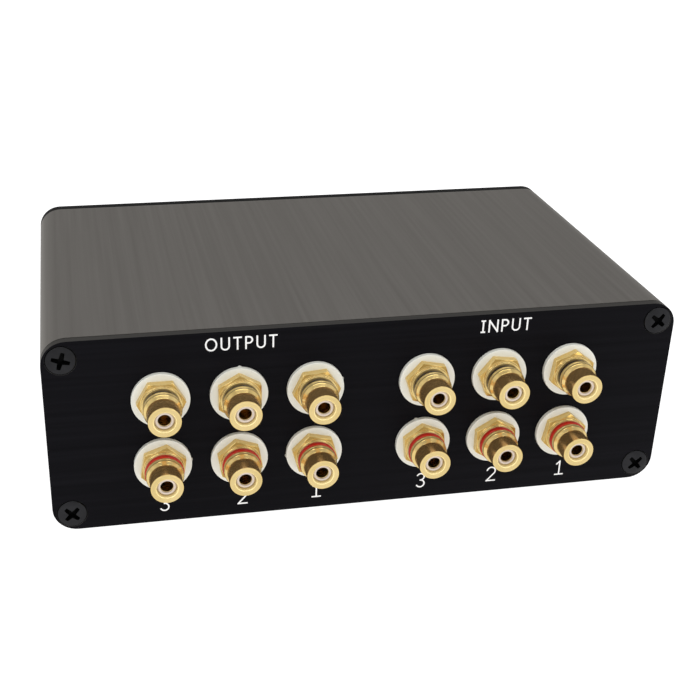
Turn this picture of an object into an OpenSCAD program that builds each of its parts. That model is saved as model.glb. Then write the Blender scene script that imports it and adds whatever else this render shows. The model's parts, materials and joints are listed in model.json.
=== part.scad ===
// Passive audio source selector: a split aluminium case with twelve sockets at
// the back and two three-way rotary selectors at the front.
// Millimetres. +Z is up, the knobs face -Y and the sockets face +Y.
// The origin is on the table, under the middle of the overall box.
// Threads are plain cylinders at their nominal diameter.

/* [Case] */
// Width of the case
case_w = 168; // [160:1:200]
// Height of the case without its feet
case_h = 54.5; // [50:0.5:70]
// Length of the shells between the two panels
body_l = 96.5; // [80:0.5:140]
// Radius of the four long edges
corner_r = 6.5; // [5:0.25:7.5]
// Wall thickness of the shells
wall_t = 2; // [1.6:0.1:2.8]
// Thickness of the rear panel
rear_panel_t = 2.5; // [2:0.25:4]
// Thickness of the front panel
front_panel_t = 3; // [2.5:0.25:6]
// Thickness of the rib behind each side seam
seam_rib_t = 1.6; // [1.2:0.1:2.5]
// Height of the rib behind each side seam
seam_rib_h = 9; // [7:0.5:14]
// Width of the seam's tongue
tongue_w = 1.1; // [0.8:0.1:1.4]
// Height of the seam's tongue
tongue_h = 1.6; // [1:0.1:2.5]
// Depth of the V line along the seam
seam_v = 0.4; // [0.2:0.1:0.8]
// Depth of each card guide rib
guide_d = 1.8; // [1:0.1:3]
// Thickness of each card guide rib
guide_t = 1.2; // [0.8:0.1:2]
// Free slot between two card guide ribs
guide_slot = 1.8; // [1.2:0.1:3]

/* [Feet] */
// Diameter of a rubber foot where it meets the case
foot_d = 13; // [9:0.5:18]
// Height of a rubber foot
foot_h = 3; // [1.5:0.25:6]
// Distance of each foot's middle from the case's side
foot_in_x = 19; // [14:1:40]
// Distance of each foot's middle from the shell's end
foot_in_y = 15; // [11:1:30]

/* [Panel screws] */
// Distance of a screw's axis from both edges of its panel
screw_in = 5; // [4.8:0.1:6]
// Diameter of the screw's thread
screw_d = 4; // [3:0.25:4.5]
// Diameter of the countersunk head
screw_head_d = 7.4; // [6.5:0.1:8]
// Depth of the countersunk cone
screw_cone_h = 1.8; // [1.2:0.1:1.9]
// Height of the head's crown above the panel
screw_crown = 0.5; // [0.3:0.1:0.8]
// Length of the screw under the panel's face
screw_l = 12; // [9:0.5:20]
// Width over the arms of the cross recess
recess_w = 4.4; // [3:0.1:5]
// Thickness of one arm of the cross recess
recess_arm = 1.1; // [0.6:0.1:1.3]
// Depth of the cross recess
recess_h = 1.9; // [1.2:0.1:2.4]
// Wall of the boss around each screw
boss_wall = 1.9; // [1.2:0.1:2.4]

/* [Sockets] */
// Spacing of the sockets along a row
jack_pitch = 20; // [17:0.5:22]
// Distance of each group's middle from the case's middle
group_x = 35; // [32:0.5:40]
// Height of the lower row above the panel's lower edge
row_z = 18; // [16:0.5:20]
// Spacing of the two rows
row_gap = 19; // [17:0.5:22]
// Diameter of the insulating washers
washer_d = 15; // [13:0.5:16]
// Thickness of the insulating washers
washer_t = 1.2; // [0.8:0.1:2]
// Diameter of the socket's threaded stem
stem_d = 8; // [7.5:0.1:8.5]
// Diameter of the washer's shoulder inside the panel hole
shoulder_d = 9.8; // [9.2:0.1:10.5]
// Width over the flats of the socket's hexagon
hex_af = 11; // [10.8:0.1:12]
// Slope of the bevel on the hexagon's corners, in degrees
hex_bevel_deg = 25; // [15:1:30]
// Thickness of the hexagon
hex_t = 2; // [1.5:0.1:3]
// Diameter of the neck in front of the hexagon
neck_d = 10.4; // [10:0.1:10.4]
// Length of the neck
neck_l = 0.8; // [0.4:0.1:1.5]
// Diameter at the bottom of the marker ring's groove
groove_d = 8.4; // [7.6:0.1:8.8]
// Width of the marker ring
ring_w = 1.7; // [1:0.1:2.5]
// Diameter of the collar in front of the ring
collar_d = 9.8; // [9.4:0.1:10]
// Length of the collar
collar_l = 1.4; // [0.8:0.1:2.5]
// Length of the taper from collar to barrel
taper_l = 0.8; // [0.4:0.1:1.5]
// Diameter of the plain barrel that takes a plug's outer contact
barrel_d = 8.3; // [7.8:0.1:8.8]
// Length of the plain barrel
barrel_l = 4.8; // [4:0.1:8]
// Bevel of the barrel's front edge
rim_bevel = 0.2; // [0.1:0.05:0.6]
// Diameter of the bore through the socket
jack_bore_d = 5.2; // [5:0.1:6]
// Depth of the insulator's face behind the rim
face_in = 0.9; // [0.6:0.1:2]
// Diameter of the pin hole in the centre contact
pin_hole_d = 3.2; // [2.8:0.1:3.4]
// Wall of the centre contact's tube
contact_wall = 0.45; // [0.3:0.05:0.6]
// Depth of the pin hole behind the rim
pin_depth = 15; // [14:0.1:16]
// Extra radius of the insulator's mouth around the pin hole
lip_play = 0.1; // [0.1:0.01:0.2]
// Diameter of the solder tail
tail_d = 1.8; // [1.2:0.1:2]
// Length of the solder tail behind the insulator
tail_l = 5; // [3:0.5:8]
// Thickness of the ground tag
tag_t = 0.5; // [0.3:0.1:0.8]
// Reach of the ground tag from the socket's axis
tag_reach = 11.6; // [10.5:0.1:12]
// Thickness of the socket's nut
jack_nut_t = 2.5; // [1.8:0.1:4]
// Length of stem left showing behind the nut
stem_spare = 1.3; // [0.5:0.1:3]
// Length of the moulding nib on a washer's edge
nib_l = 0.5; // [0.3:0.1:0.8]

/* [Selectors] */
// Diameter of the switch's body
switch_d = 26; // [25:0.5:30]
// Thickness of the switch's cover
cover_t = 1.6; // [1.2:0.1:3]
// Length of the switch's housing ring
housing_l = 10.5; // [10:0.5:14]
// Wall of the housing ring
housing_wall = 1.5; // [1:0.1:2]
// Thickness of the switch's base
base_t = 2.5; // [2:0.1:4]
// Diameter of the shaft
shaft_d = 6; // [5:0.1:6.4]
// Depth of the flats on the shaft
shaft_flat = 0.5; // [0.3:0.1:0.8]
// Diameter of the threaded bushing
bush_d = 9; // [8.5:0.1:10]
// Width over the flats of the bushing's nut
bush_nut_af = 12; // [11.5:0.5:14]
// Thickness of the bushing's nut
bush_nut_t = 2; // [1.5:0.1:3]
// Thickness of the lock washer
lock_t = 0.5; // [0.3:0.1:1]
// Diameter of the detent wheel
wheel_d = 16; // [14:0.5:17]
// Thickness of the detent wheel
wheel_t = 2.5; // [1.8:0.1:3]
// Radius of a detent notch
notch_r = 0.9; // [0.7:0.1:1.2]
// Thickness of the detent leaf
leaf_t = 0.35; // [0.2:0.05:0.5]
// Thickness of the rotor
rotor_t = 3; // [2:0.1:3.2]
// Radius of the ring of throw terminals
throw_r = 9; // [8.5:0.1:9.5]
// Radius of the common contact
common_r = 5; // [4.8:0.1:5.4]
// Angle between two switch positions
index_deg = 30; // [24:1:36]
// Diameter of a terminal pin
term_d = 1.6; // [1:0.1:1.8]
// Length of a terminal pin behind the base
term_l = 5; // [3:0.5:8]
// Diameter of the two tie screws
tie_d = 2; // [1.6:0.1:2.4]

/* [Knobs] */
// Diameter of a knob
knob_d = 25; // [22:0.5:32]
// Height of a knob
knob_h = 15.5; // [13:0.5:22]
// Gap between a knob and the front panel
knob_gap = 1; // [0.6:0.1:2]
// Bevel around the knob's face
knob_bevel = 0.8; // [0.4:0.1:2]
// Diameter of the recess that clears the nut
knob_recess_d = 18; // [17.5:0.5:19]
// Width of the pointer groove
pointer_w = 1.2; // [0.8:0.1:2]
// Depth of the pointer groove
pointer_h = 0.4; // [0.2:0.1:0.8]
// Length of the pointer groove from the knob's edge
pointer_l = 8.5; // [5:0.5:10]
// Diameter of the set screw
grub_d = 3; // [2.5:0.1:4]

/* [Wiring] */
// Diameter of an insulated wire
wire_d = 1.6; // [1:0.1:2]
// Diameter of the bare ground wire
ground_d = 1; // [0.6:0.1:1.2]
// Bend radius of the ground wire
ground_bend = 4; // [3:0.5:6]
// How far the links bow out behind the switches
link_bow = 16; // [12:0.5:22]

/* [Fits] */
// Radial clearance of fixed fits
fit = 0.02; // [0.01:0.01:0.05]
// Radial clearance of running fits
run_fit = 0.05; // [0.03:0.01:0.08]
// Side clearance of loose fits
loose = 0.1; // [0.05:0.05:0.2]

/* [Hidden] */
$fn = 64;
eps = 0.05;
gold = [0.83, 0.66, 0.3];
steel = [0.72, 0.73, 0.75];
black = [0.13, 0.13, 0.14];
white = [0.92, 0.91, 0.86];
copper = [0.75, 0.68, 0.6];
sides = ["input", "output"];
channels = ["left", "right"];
numbers = [1, 2, 3];

// How far a cutter runs past what it cuts
past = 1;

// Small sizes of the screws and feet: the screw's tip, the foot's taper and its lower edge
tip_bevel = 0.6;
foot_taper = 0.5;
foot_edge_w = 0.6;
foot_edge_h = 0.4;

// Small sizes of the sockets: the insulator's lip, nose and flange, the contact's floor,
// bevels, the ring's stand above the collar, and the inner washer's shoulder
lip_t = 1.4;
nose_bevel = 0.4;
flange_t = 1;
flange_in = 0.5;
contact_floor = 1;
stem_bevel = 0.4;
hex_face_in = 0.12;
ring_bevel = 0.28;
ring_proud = 0.1;
nib_w = 1.2;
inner_washer_in = 0.5;
shoulder_short = 0.2;

// Small sizes of the ground tags and the ground wire: metal around the eye, the ring's
// width, the blade's width and root, and the wire's ends
eye_edge = 1;
tag_clear = 0.25;
tag_ring_w = 1.8;
tag_w = 3;
tag_root = 0.6;
ground_tail = 3;
ground_clear = 1;

// Small sizes of the selectors: gaps between the inner pieces, the ears and their
// screws, the locating peg, the wiper's bar, and the rims of washer and terminals
thread_spare = 0.8;
nut_room = 1.2;
knob_face_t = 2;
wheel_gap = 1;
rotor_gap = 0.6;
rotor_play = 0.8;
brush_gap = 0.2;
ear_gap = 0.5;
ear_wall = 1.2;
peg_in = 2;
shaft_lap = 1;
journal_short = 0.5;
flat_gap = 0.4;
wiper_t = 0.5;
leaf_edge = 0.2;
term_rim = 0.5;
common_w = 2;
common_spare_deg = 12;
tie_short = 0.2;
tie_head_t = 1.2;
tie_head_in = 0.2;
lock_rim = 0.8;
tooth_l = 1.2;
tooth_w = 0.8;
teeth = 8;

// Small sizes of the knobs: the back edge, the shaft's end room, and the set screw
knob_edge = 0.3;
shaft_end_gap = 0.3;
grub_sunk = 3;
grub_hex_h = 1.5;

// Steps of the swept wires
wire_sides = 8;
signal_steps = 14;
link_steps = 24;

// Where the parts of one socket lie, outward from the rear panel's face
s_hex = washer_t;
s_neck = s_hex + hex_t;
s_ring = s_neck + neck_l;
s_collar = s_ring + ring_w;
s_taper = s_collar + collar_l;
s_barrel = s_taper + taper_l;
s_rim = s_barrel + barrel_l;
s_face = s_rim - face_in;
s_lip = s_face - lip_t;
s_pin_end = s_rim - pin_depth;
s_tag = -rear_panel_t - washer_t;
s_nut = s_tag - tag_t;
s_stem = s_nut - jack_nut_t - stem_spare;
s_flange = s_stem - flange_t;
s_tail = s_flange - tail_l;
contact_r = pin_hole_d / 2 + contact_wall;
insul_r = jack_bore_d / 2 - fit;
hole_r = shoulder_d / 2 + loose;

// Ground tags: the eye each row's ground wire runs through
eye_s = s_nut - jack_nut_t;
eye_r = ground_d / 2 + loose;
eye_out = tag_reach - eye_r - eye_edge;
tag_in = hex_af / 2 / cos(30) + tag_clear;

// Where the parts of one selector lie, outward from the front panel's face
v_panel = -front_panel_t;
v_cover = v_panel - cover_t;
v_base = v_cover - housing_l;
v_back = v_base - base_t;
v_term = v_back - term_l;
v_nut = lock_t + bush_nut_t;
v_bush = v_nut + thread_spare;
v_knob = knob_gap + knob_h;
v_recess = v_bush + nut_room;
v_shaft = v_knob - knob_face_t;
v_wheel = v_cover - wheel_gap;
v_rotor = v_wheel - wheel_t - rotor_gap;
v_wiper = v_rotor - rotor_t;
head_t = 0.5;
v_head = v_base + head_t;
v_brush = v_head + brush_gap;
switch_r = switch_d / 2;
housing_r = switch_r - housing_wall;
shaft_r = shaft_d / 2;
journal_r = shaft_r / 2;
wheel_r = wheel_d / 2;
nose_r = notch_r - loose;
nose_out = wheel_r + notch_r / 6;
leaf_in = nose_out + nose_r - leaf_t;
ear_x = switch_r + tie_d / 2 + ear_gap;
ear_r = tie_d / 2 + ear_wall;
peg_r = 1;
peg_l = front_panel_t / 2;
peg_out = housing_r - peg_in;
grub_v = (v_recess + v_shaft) / 2;
flat_in = shaft_r - shaft_flat;
common_deg = 2 * (index_deg + common_spare_deg);

// The overall box is centred on the origin
overall_l = v_knob + front_panel_t + body_l + rear_panel_t + s_rim;
y_front = v_knob - overall_l / 2;
y_body = y_front + front_panel_t;
y_seat = y_body + body_l;
y_rear = y_seat + rear_panel_t;
mid_z = foot_h + case_h / 2;
boss_x = case_w / 2 - screw_in;
boss_z = case_h / 2 - screw_in;
boss_r = screw_d / 2 + boss_wall;
seam_mid = case_w / 2 - (wall_t + seam_rib_t) / 2;

// Turn of each cross recess, seen from outside
rear_turns = [50, 42, -17, 45];
front_turns = [12, 71, 33, -24];
// Turn of each hexagon and place of each washer's nib, seen from behind:
// sockets 1, 2 and 3 of the inputs and then of the outputs, left then right
hex_turns = [[[23, 19], [52, 31], [48, 36]], [[5, -14], [30, 40], [0, 20]]];
nib_turns = [[[300, 310], [265, 280], [290, 107]], [[16, 186], [88, -10], [300, 4]]];

function side_sign(i) = i == 0 ? -1 : 1;
function jack_x(i, n) = side_sign(i) * group_x + (n - 2) * jack_pitch;
function jack_z(c) = foot_h + row_z + (c == 0 ? row_gap : 0);
function throw_a(n, c) = (c == 0 ? 90 : 270) + (c == 0 ? -1 : 1) * (n - 2) * index_deg;
function selector_x(i) = side_sign(i) * group_x;

FIXED_NODES = ["upper_shell", "lower_shell", "front_panel", "rear_panel", "front_panel_screws",
  "rear_panel_screws", "rubber_feet", "black_marker_rings", "red_marker_rings", "jack_insulators",
  "jack_contacts", "outer_washers", "inner_washers", "ground_tags", "jack_nuts", "left_signal_wires",
  "right_signal_wires", "link_wires", "ground_wire"];
JACK_NODES = [for (s = sides, n = numbers, c = channels) str(s, "_", n, "_", c, "_jack_body")];
SELECTOR_PIECES = ["knob", "knob_set_screw", "shaft", "detent_wheel", "rotor", "wipers", "bushing",
  "bushing_nut", "lock_washer", "switch_housing", "detent_leaf", "switch_base", "terminals",
  "tie_screws"];
SELECTOR_NODES = [for (s = sides, p = SELECTOR_PIECES) str(s, "_", p)];

// Local +Z out of the back of the case, local +Y up
module out_back(x, y, z) {
  translate([x, y, z]) rotate([90, 0, 180]) children();
}

// Local +Z out of the front of the case, local +Y up
module out_front(x, y, z) {
  translate([x, y, z]) rotate([90, 0, 0]) children();
}

module each_jack(c_only = -1) {
  for (i = [0, 1], n = numbers, c = [0, 1])
    if (c_only < 0 || c == c_only) out_back(jack_x(i, n), y_rear, jack_z(c)) children();
}

module at_selector(i) {
  out_front(selector_x(i), y_front, mid_z) children();
}

module rounded_rect(w, h, r) {
  square([w - 2 * r, h], center = true);
  square([w, h - 2 * r], center = true);
  for (sx = [-1, 1], sy = [-1, 1]) translate([sx * (w / 2 - r), sy * (h / 2 - r)]) circle(r);
}

module case_outline() {
  rounded_rect(case_w, case_h, corner_r);
}

module screw_places() {
  for (sx = [-1, 1], sy = [-1, 1]) translate([sx * boss_x, sy * boss_z]) children();
}

// The whole section of the case before it is split along its side seams
module case_section() {
  difference() {
    union() {
      difference() {
        case_outline();
        rounded_rect(case_w - 2 * wall_t, case_h - 2 * wall_t, corner_r - wall_t);
      }
      intersection() {
        screw_places() circle(boss_r);
        case_outline();
      }
      for (sx = [-1, 1]) translate([sx * (case_w / 2 - wall_t - seam_rib_t / 2), 0])
        square([seam_rib_t + eps, seam_rib_h], center = true);
    }
    screw_places() circle(screw_d / 2 + fit);
    for (sx = [-1, 1]) translate([sx * case_w / 2, 0]) rotate(45)
      square(seam_v * sqrt(2), center = true);
  }
}

module half_plane(up) {
  translate([-case_w, up ? 0 : -case_h]) square([2 * case_w, case_h]);
}

module tongues(play) {
  for (sx = [-1, 1]) translate([sx * seam_mid, tongue_h / 2 + play / 2])
    square([tongue_w + 2 * play, tongue_h + play], center = true);
}

module card_guides() {
  step = (guide_slot + guide_t) / 2;
  for (sx = [-1, 1], sy = [-1, 1])
    translate([sx * (case_w / 2 - wall_t - guide_d / 2 + eps / 2), -case_h / 4 + sy * step])
      square([guide_d + eps, guide_t], center = true);
}

module upper_shell() {
  color(black) out_back(0, y_body, mid_z) linear_extrude(body_l) difference() {
    intersection() {
      case_section();
      half_plane(true);
    }
    tongues(loose);
  }
}

module lower_shell() {
  color(black) out_back(0, y_body, mid_z) linear_extrude(body_l) {
    intersection() {
      case_section();
      half_plane(false);
    }
    translate([0, -eps]) tongues(0);
    card_guides();
  }
}

// Countersunk clearance for one screw, local z = 0 at the panel's outer face
module screw_sink(t) {
  translate([0, 0, -t - eps]) cylinder(r = screw_d / 2 + loose, h = t + 2 * eps);
  rotate_extrude() polygon([[0, eps], [screw_head_d / 2 + loose, eps], [screw_head_d / 2 + loose, 0],
    [screw_d / 2 + loose, -screw_cone_h], [0, -screw_cone_h]]);
}

module rear_panel() {
  color(black) out_back(0, y_rear, mid_z) difference() {
    translate([0, 0, -rear_panel_t]) linear_extrude(rear_panel_t) difference() {
      case_outline();
      for (i = [0, 1], n = numbers, c = [0, 1])
        translate([-jack_x(i, n), jack_z(c) - mid_z]) circle(hole_r);
    }
    screw_places() screw_sink(rear_panel_t);
  }
}

module front_panel() {
  color(black) out_front(0, y_front, mid_z) difference() {
    translate([0, 0, -front_panel_t]) linear_extrude(front_panel_t) difference() {
      case_outline();
      for (i = [0, 1]) translate([selector_x(i), 0]) circle(bush_d / 2 + loose);
    }
    screw_places() screw_sink(front_panel_t);
    for (i = [0, 1]) translate([selector_x(i), -peg_out, v_panel - eps])
      cylinder(r = peg_r + loose, h = peg_l + loose + eps);
  }
}

// Raised countersunk screw with a cross recess, local z = 0 at the panel's face
module panel_screw(turn) {
  r = screw_head_d / 2;
  crown_r = (r * r + screw_crown * screw_crown) / (2 * screw_crown);
  difference() {
    union() {
      rotate_extrude() polygon([[0, 0], [r, 0], [screw_d / 2, -screw_cone_h + loose],
        [screw_d / 2, -screw_l + tip_bevel], [screw_d / 2 - tip_bevel, -screw_l], [0, -screw_l]]);
      intersection() {
        translate([0, 0, screw_crown - crown_r]) sphere(crown_r);
        translate([0, 0, -eps]) cylinder(r = r, h = screw_crown + 2 * eps);
      }
    }
    rotate(turn) intersection() {
      translate([0, 0, screw_crown - recess_h])
        cylinder(r1 = recess_w / 4, r2 = recess_w / 2, h = recess_h + eps);
      for (a = [0, 90]) rotate(a) cube([recess_w + past, recess_arm, 4 * recess_h], center = true);
    }
  }
}

module rear_panel_screws() {
  color(black) out_back(0, y_rear, mid_z)
    for (k = [0 : 3]) translate([(k < 2 ? 1 : -1) * boss_x, (k % 2 == 0 ? 1 : -1) * boss_z])
      panel_screw(rear_turns[k]);
}

module front_panel_screws() {
  color(black) out_front(0, y_front, mid_z)
    for (k = [0 : 3]) translate([(k < 2 ? 1 : -1) * boss_x, (k % 2 == 0 ? 1 : -1) * boss_z])
      panel_screw(front_turns[k]);
}

module rubber_feet() {
  r = foot_d / 2;
  color([0.08, 0.08, 0.08]) for (sx = [-1, 1], y = [y_body + foot_in_y, y_seat - foot_in_y])
    translate([sx * (case_w / 2 - foot_in_x), y, 0])
      rotate_extrude() polygon([[0, 0], [r - foot_taper - foot_edge_w, 0],
        [r - foot_taper, foot_edge_h], [r, foot_h], [0, foot_h]]);
}

// The bore through a socket's metal, with a bevel at the rim
module jack_bore() {
  bore_r = jack_bore_d / 2;
  translate([0, 0, s_stem - past]) cylinder(r = bore_r, h = s_rim - s_stem + 2 * past);
  translate([0, 0, s_rim - rim_bevel])
    cylinder(r1 = bore_r, r2 = bore_r + rim_bevel + eps, h = rim_bevel + eps);
}

// Threaded stem, hexagon and neck
module jack_stem(turn) {
  stem_r = stem_d / 2;
  hex_r = hex_af / 2 / cos(30);
  face_r = hex_af / 2 - hex_face_in;
  past_r = hex_r + past;
  rotate_extrude() polygon([[0, s_stem], [stem_r - stem_bevel, s_stem], [stem_r, s_stem + stem_bevel],
    [stem_r, s_neck - eps], [neck_d / 2, s_neck - eps], [neck_d / 2, s_ring], [0, s_ring]]);
  intersection() {
    translate([0, 0, s_hex]) rotate(turn) cylinder(r = hex_r, h = hex_t, $fn = 6);
    rotate_extrude() polygon([[0, s_hex - past], [past_r, s_hex - past],
      [past_r, s_neck - (past_r - face_r) * tan(hex_bevel_deg)], [face_r, s_neck], [0, s_neck]]);
  }
}

// One socket's metal in three turned lengths with a hair between them: the stem
// with its hexagon, the grooved collar, and the barrel that a plug slides over
module jack_body(turn) {
  difference() {
    jack_stem(turn);
    jack_bore();
  }
  difference() {
    rotate_extrude() polygon([[0, s_ring + fit], [groove_d / 2, s_ring + fit], [groove_d / 2, s_collar],
      [collar_d / 2, s_collar], [collar_d / 2, s_taper], [barrel_d / 2, s_barrel - fit],
      [0, s_barrel - fit]]);
    jack_bore();
  }
  difference() {
    rotate_extrude() polygon([[0, s_barrel], [barrel_d / 2, s_barrel], [barrel_d / 2, s_rim - rim_bevel],
      [barrel_d / 2 - rim_bevel, s_rim], [0, s_rim]]);
    jack_bore();
  }
}

module marker_ring() {
  r0 = groove_d / 2 + fit;
  r1 = collar_d / 2 + ring_proud;
  lo = s_ring + fit;
  hi = s_collar - fit;
  rotate_extrude() polygon([[r0, lo], [r1 - ring_bevel, lo], [r1, lo + ring_bevel],
    [r1, hi - ring_bevel], [r1 - ring_bevel, hi], [r0, hi]]);
}

module black_marker_rings() {
  color([0.05, 0.05, 0.05]) each_jack(0) marker_ring();
}

module red_marker_rings() {
  color([0.7, 0.08, 0.08]) each_jack(1) marker_ring();
}

module jack_insulators() {
  flange_r = stem_d / 2 - flange_in;
  color(white) each_jack() difference() {
    union() {
      rotate_extrude() polygon([[0, s_flange], [insul_r, s_flange], [insul_r, s_face - nose_bevel],
        [insul_r - nose_bevel, s_face], [0, s_face]]);
      translate([0, 0, s_flange]) cylinder(r = flange_r, h = s_stem - s_flange);
    }
    translate([0, 0, s_lip - eps]) cylinder(r = pin_hole_d / 2 + lip_play, h = lip_t + past);
    translate([0, 0, s_pin_end - contact_floor])
      cylinder(r = contact_r + fit, h = s_lip - s_pin_end + contact_floor);
    translate([0, 0, s_flange - past]) cylinder(r = tail_d / 2 + fit, h = s_pin_end - s_flange + past);
  }
}

module jack_contacts() {
  color(gold) each_jack() difference() {
    union() {
      translate([0, 0, s_pin_end - contact_floor])
        cylinder(r = contact_r, h = s_lip - s_pin_end + contact_floor);
      translate([0, 0, s_tail]) cylinder(r = tail_d / 2, h = s_pin_end - s_tail);
    }
    translate([0, 0, s_pin_end]) cylinder(r = pin_hole_d / 2, h = pin_depth);
  }
}

module outer_washers() {
  r = washer_d / 2;
  color(white) for (i = [0, 1], n = numbers, c = [0, 1])
    out_back(jack_x(i, n), y_rear, jack_z(c)) difference() {
      union() {
        cylinder(r = r, h = washer_t);
        rotate(nib_turns[i][n - 1][c]) translate([r - nib_w / 2, -nib_w / 2, 0])
          cube([nib_l + nib_w / 2, nib_w, washer_t / 2]);
      }
      translate([0, 0, -past]) cylinder(r = stem_d / 2 + run_fit, h = washer_t + 2 * past);
    }
}

module inner_washers() {
  color(white) each_jack() difference() {
    union() {
      translate([0, 0, -rear_panel_t - washer_t]) cylinder(r = washer_d / 2 - inner_washer_in, h = washer_t);
      translate([0, 0, -rear_panel_t - eps])
        cylinder(r = shoulder_d / 2, h = rear_panel_t - shoulder_short + eps);
    }
    translate([0, 0, -rear_panel_t - washer_t - past])
      cylinder(r = stem_d / 2 + run_fit, h = rear_panel_t + washer_t + 2 * past);
  }
}

// Solder tag: a ring on the stem and a blade with an eye for the ground wire
module ground_tag() {
  blade_l = jack_nut_t + eye_r + eye_edge;
  root_r = stem_d / 2 + tag_root;
  difference() {
    union() {
      translate([0, 0, s_nut]) cylinder(r = stem_d / 2 + tag_ring_w, h = tag_t);
      translate([-tag_w / 2, root_r, s_nut]) cube([tag_w, tag_reach - eye_edge - root_r, tag_t]);
      translate([-tag_t / 2, tag_in, s_nut - blade_l]) cube([tag_t, tag_reach - tag_in, blade_l + tag_t]);
    }
    translate([0, 0, s_nut - past]) cylinder(r = stem_d / 2 + run_fit, h = tag_t + 2 * past);
    translate([-past, eye_out, eye_s]) rotate([0, 90, 0]) cylinder(r = eye_r, h = 2 * past);
  }
}

module ground_tags() {
  color(steel) {
    each_jack(0) ground_tag();
    each_jack(1) rotate(180) ground_tag();
  }
}

module jack_nuts() {
  color(gold) each_jack() difference() {
    translate([0, 0, s_nut - jack_nut_t]) cylinder(r = hex_af / 2 / cos(30), h = jack_nut_t, $fn = 6);
    translate([0, 0, s_nut - jack_nut_t - past])
      cylinder(r = stem_d / 2 + fit, h = jack_nut_t + 2 * past);
  }
}

// A round wire swept along points; it leaves its first end along +Y, and its
// last end lies along +Y or, with flip = -1, along -Y
function unit(v) = v / norm(v);
function path_dir(p, k) = k == 0 || k == len(p) - 1 ? [0, 1, 0] : unit(p[k + 1] - p[k - 1]);
function ring_dir(p, k, flip) = let (d = path_dir(p, k)) k == len(p) - 1 ? flip * d : d;
function ring_pts(c, d, r, m) = let (n = unit(cross(d, [0, 0, 1])), b = cross(n, d))
  [for (j = [0 : m - 1]) c + r * (cos(360 * j / m) * n + sin(360 * j / m) * b)];

module wire(p, r, flip) {
  m = wire_sides;
  last = len(p) - 1;
  pts = [for (k = [0 : last], q = ring_pts(p[k], ring_dir(p, k, flip), r, m)) q];
  walls = [for (k = [0 : last - 1], j = [0 : m - 1], h = [0, 1])
    let (a = k * m + j, b = k * m + (j + 1) % m) h == 0 ? [a, b, b + m] : [a, b + m, a + m]];
  caps = [for (j = [1 : m - 2], h = [0, 1])
    h == 0 ? [0, j + 1, j] : [last * m, last * m + j, last * m + j + 1]];
  polyhedron(pts, concat(walls, caps));
}

function ease(t) = t * t * (3 - 2 * t);
function signal_path(a, b) = [for (k = [0 : signal_steps]) let (t = k / signal_steps, e = ease(t))
  [a[0] + (b[0] - a[0]) * e, a[1] + (b[1] - a[1]) * t, a[2] + (b[2] - a[2]) * e]];
function link_path(y, z) = [for (k = [0 : link_steps]) let (a = 180 * k / link_steps)
  [-group_x * cos(a), y + link_bow * sin(a), z]];

module signal_wires(c) {
  for (i = [0, 1], n = numbers) {
    a = throw_a(n, c);
    from = [selector_x(i) + throw_r * cos(a), y_front - v_term, mid_z + throw_r * sin(a)];
    wire(signal_path(from, [jack_x(i, n), y_rear + s_tail, jack_z(c)]), wire_d / 2, 1);
  }
}

module left_signal_wires() {
  color(white) signal_wires(0);
}

module right_signal_wires() {
  color([0.7, 0.1, 0.1]) signal_wires(1);
}

module link_wires() {
  color([0.2, 0.3, 0.6]) for (s = [-1, 1])
    wire(link_path(y_front - v_term, mid_z + s * common_r), wire_d / 2, -1);
}

// One bare wire through the eyes of the upper row, round a bend and back
// through the eyes of the lower row
module ground_wire() {
  top = jack_z(0) + eye_out;
  low = jack_z(1) - eye_out;
  x_end = jack_x(0, 1) - ground_tail;
  x_bend = jack_x(1, 3) + washer_d / 2 + ground_clear;
  r = ground_d / 2;
  b = ground_bend;
  color(copper) translate([0, y_rear + eye_s, 0]) {
    for (z = [top, low]) translate([x_end, 0, z]) rotate([0, 90, 0]) cylinder(r = r, h = x_bend - x_end);
    translate([x_bend + b, 0, low + b]) cylinder(r = r, h = top - low - 2 * b);
    translate([x_bend, 0, top - b]) rotate([90, 0, 0])
      rotate_extrude(angle = 90) translate([b, 0]) circle(r);
    translate([x_bend, 0, low + b]) rotate([90, 0, 0]) rotate(-90)
      rotate_extrude(angle = 90) translate([b, 0]) circle(r);
  }
}

// Knob: turned, hollow at the back over the nut, with a pointer groove
module knob() {
  r = knob_d / 2;
  difference() {
    rotate_extrude() polygon([[0, knob_gap], [r - knob_edge, knob_gap], [r, knob_gap + knob_edge],
      [r, v_knob - knob_bevel], [r - knob_bevel, v_knob], [0, v_knob]]);
    translate([0, 0, knob_gap - past]) cylinder(r = knob_recess_d / 2, h = v_recess - knob_gap + past);
    translate([0, 0, knob_gap]) cylinder(r = shaft_r + fit, h = v_shaft - knob_gap + shaft_end_gap);
    translate([-pointer_w / 2, r - pointer_l, v_knob - pointer_h])
      cube([pointer_w, pointer_l + past, pointer_h + past]);
    translate([0, 0, grub_v]) rotate([90, 0, 0]) cylinder(r = grub_d / 2 + fit, h = r + past);
  }
}

module knob_set_screw() {
  len_g = knob_d / 2 - flat_in - grub_sunk;
  color(steel) translate([0, -flat_in, grub_v]) rotate([90, 0, 0]) difference() {
    cylinder(r = grub_d / 2, h = len_g);
    translate([0, 0, len_g - grub_hex_h]) cylinder(r = grub_d / 4, h = grub_hex_h + past, $fn = 6);
  }
}

// Section of the shaft where it carries the wheel and the rotor
module flat_section(r, play) {
  intersection() {
    circle(r);
    translate([-2 * r, -flat_in - play]) square([4 * r, 4 * r]);
  }
}

module shaft() {
  color(steel) difference() {
    union() {
      translate([0, 0, v_wiper - shaft_lap]) cylinder(r = shaft_r, h = v_shaft - v_wiper + shaft_lap);
      translate([0, 0, v_back + journal_short]) cylinder(r = journal_r, h = v_wiper - v_back);
    }
    translate([-shaft_r, -shaft_d - flat_in, v_bush + flat_gap]) cube([shaft_d, shaft_d, v_knob]);
    translate([-shaft_r, -shaft_d - flat_in, v_back])
      cube([shaft_d, shaft_d, v_cover - flat_gap - v_back]);
  }
}

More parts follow.
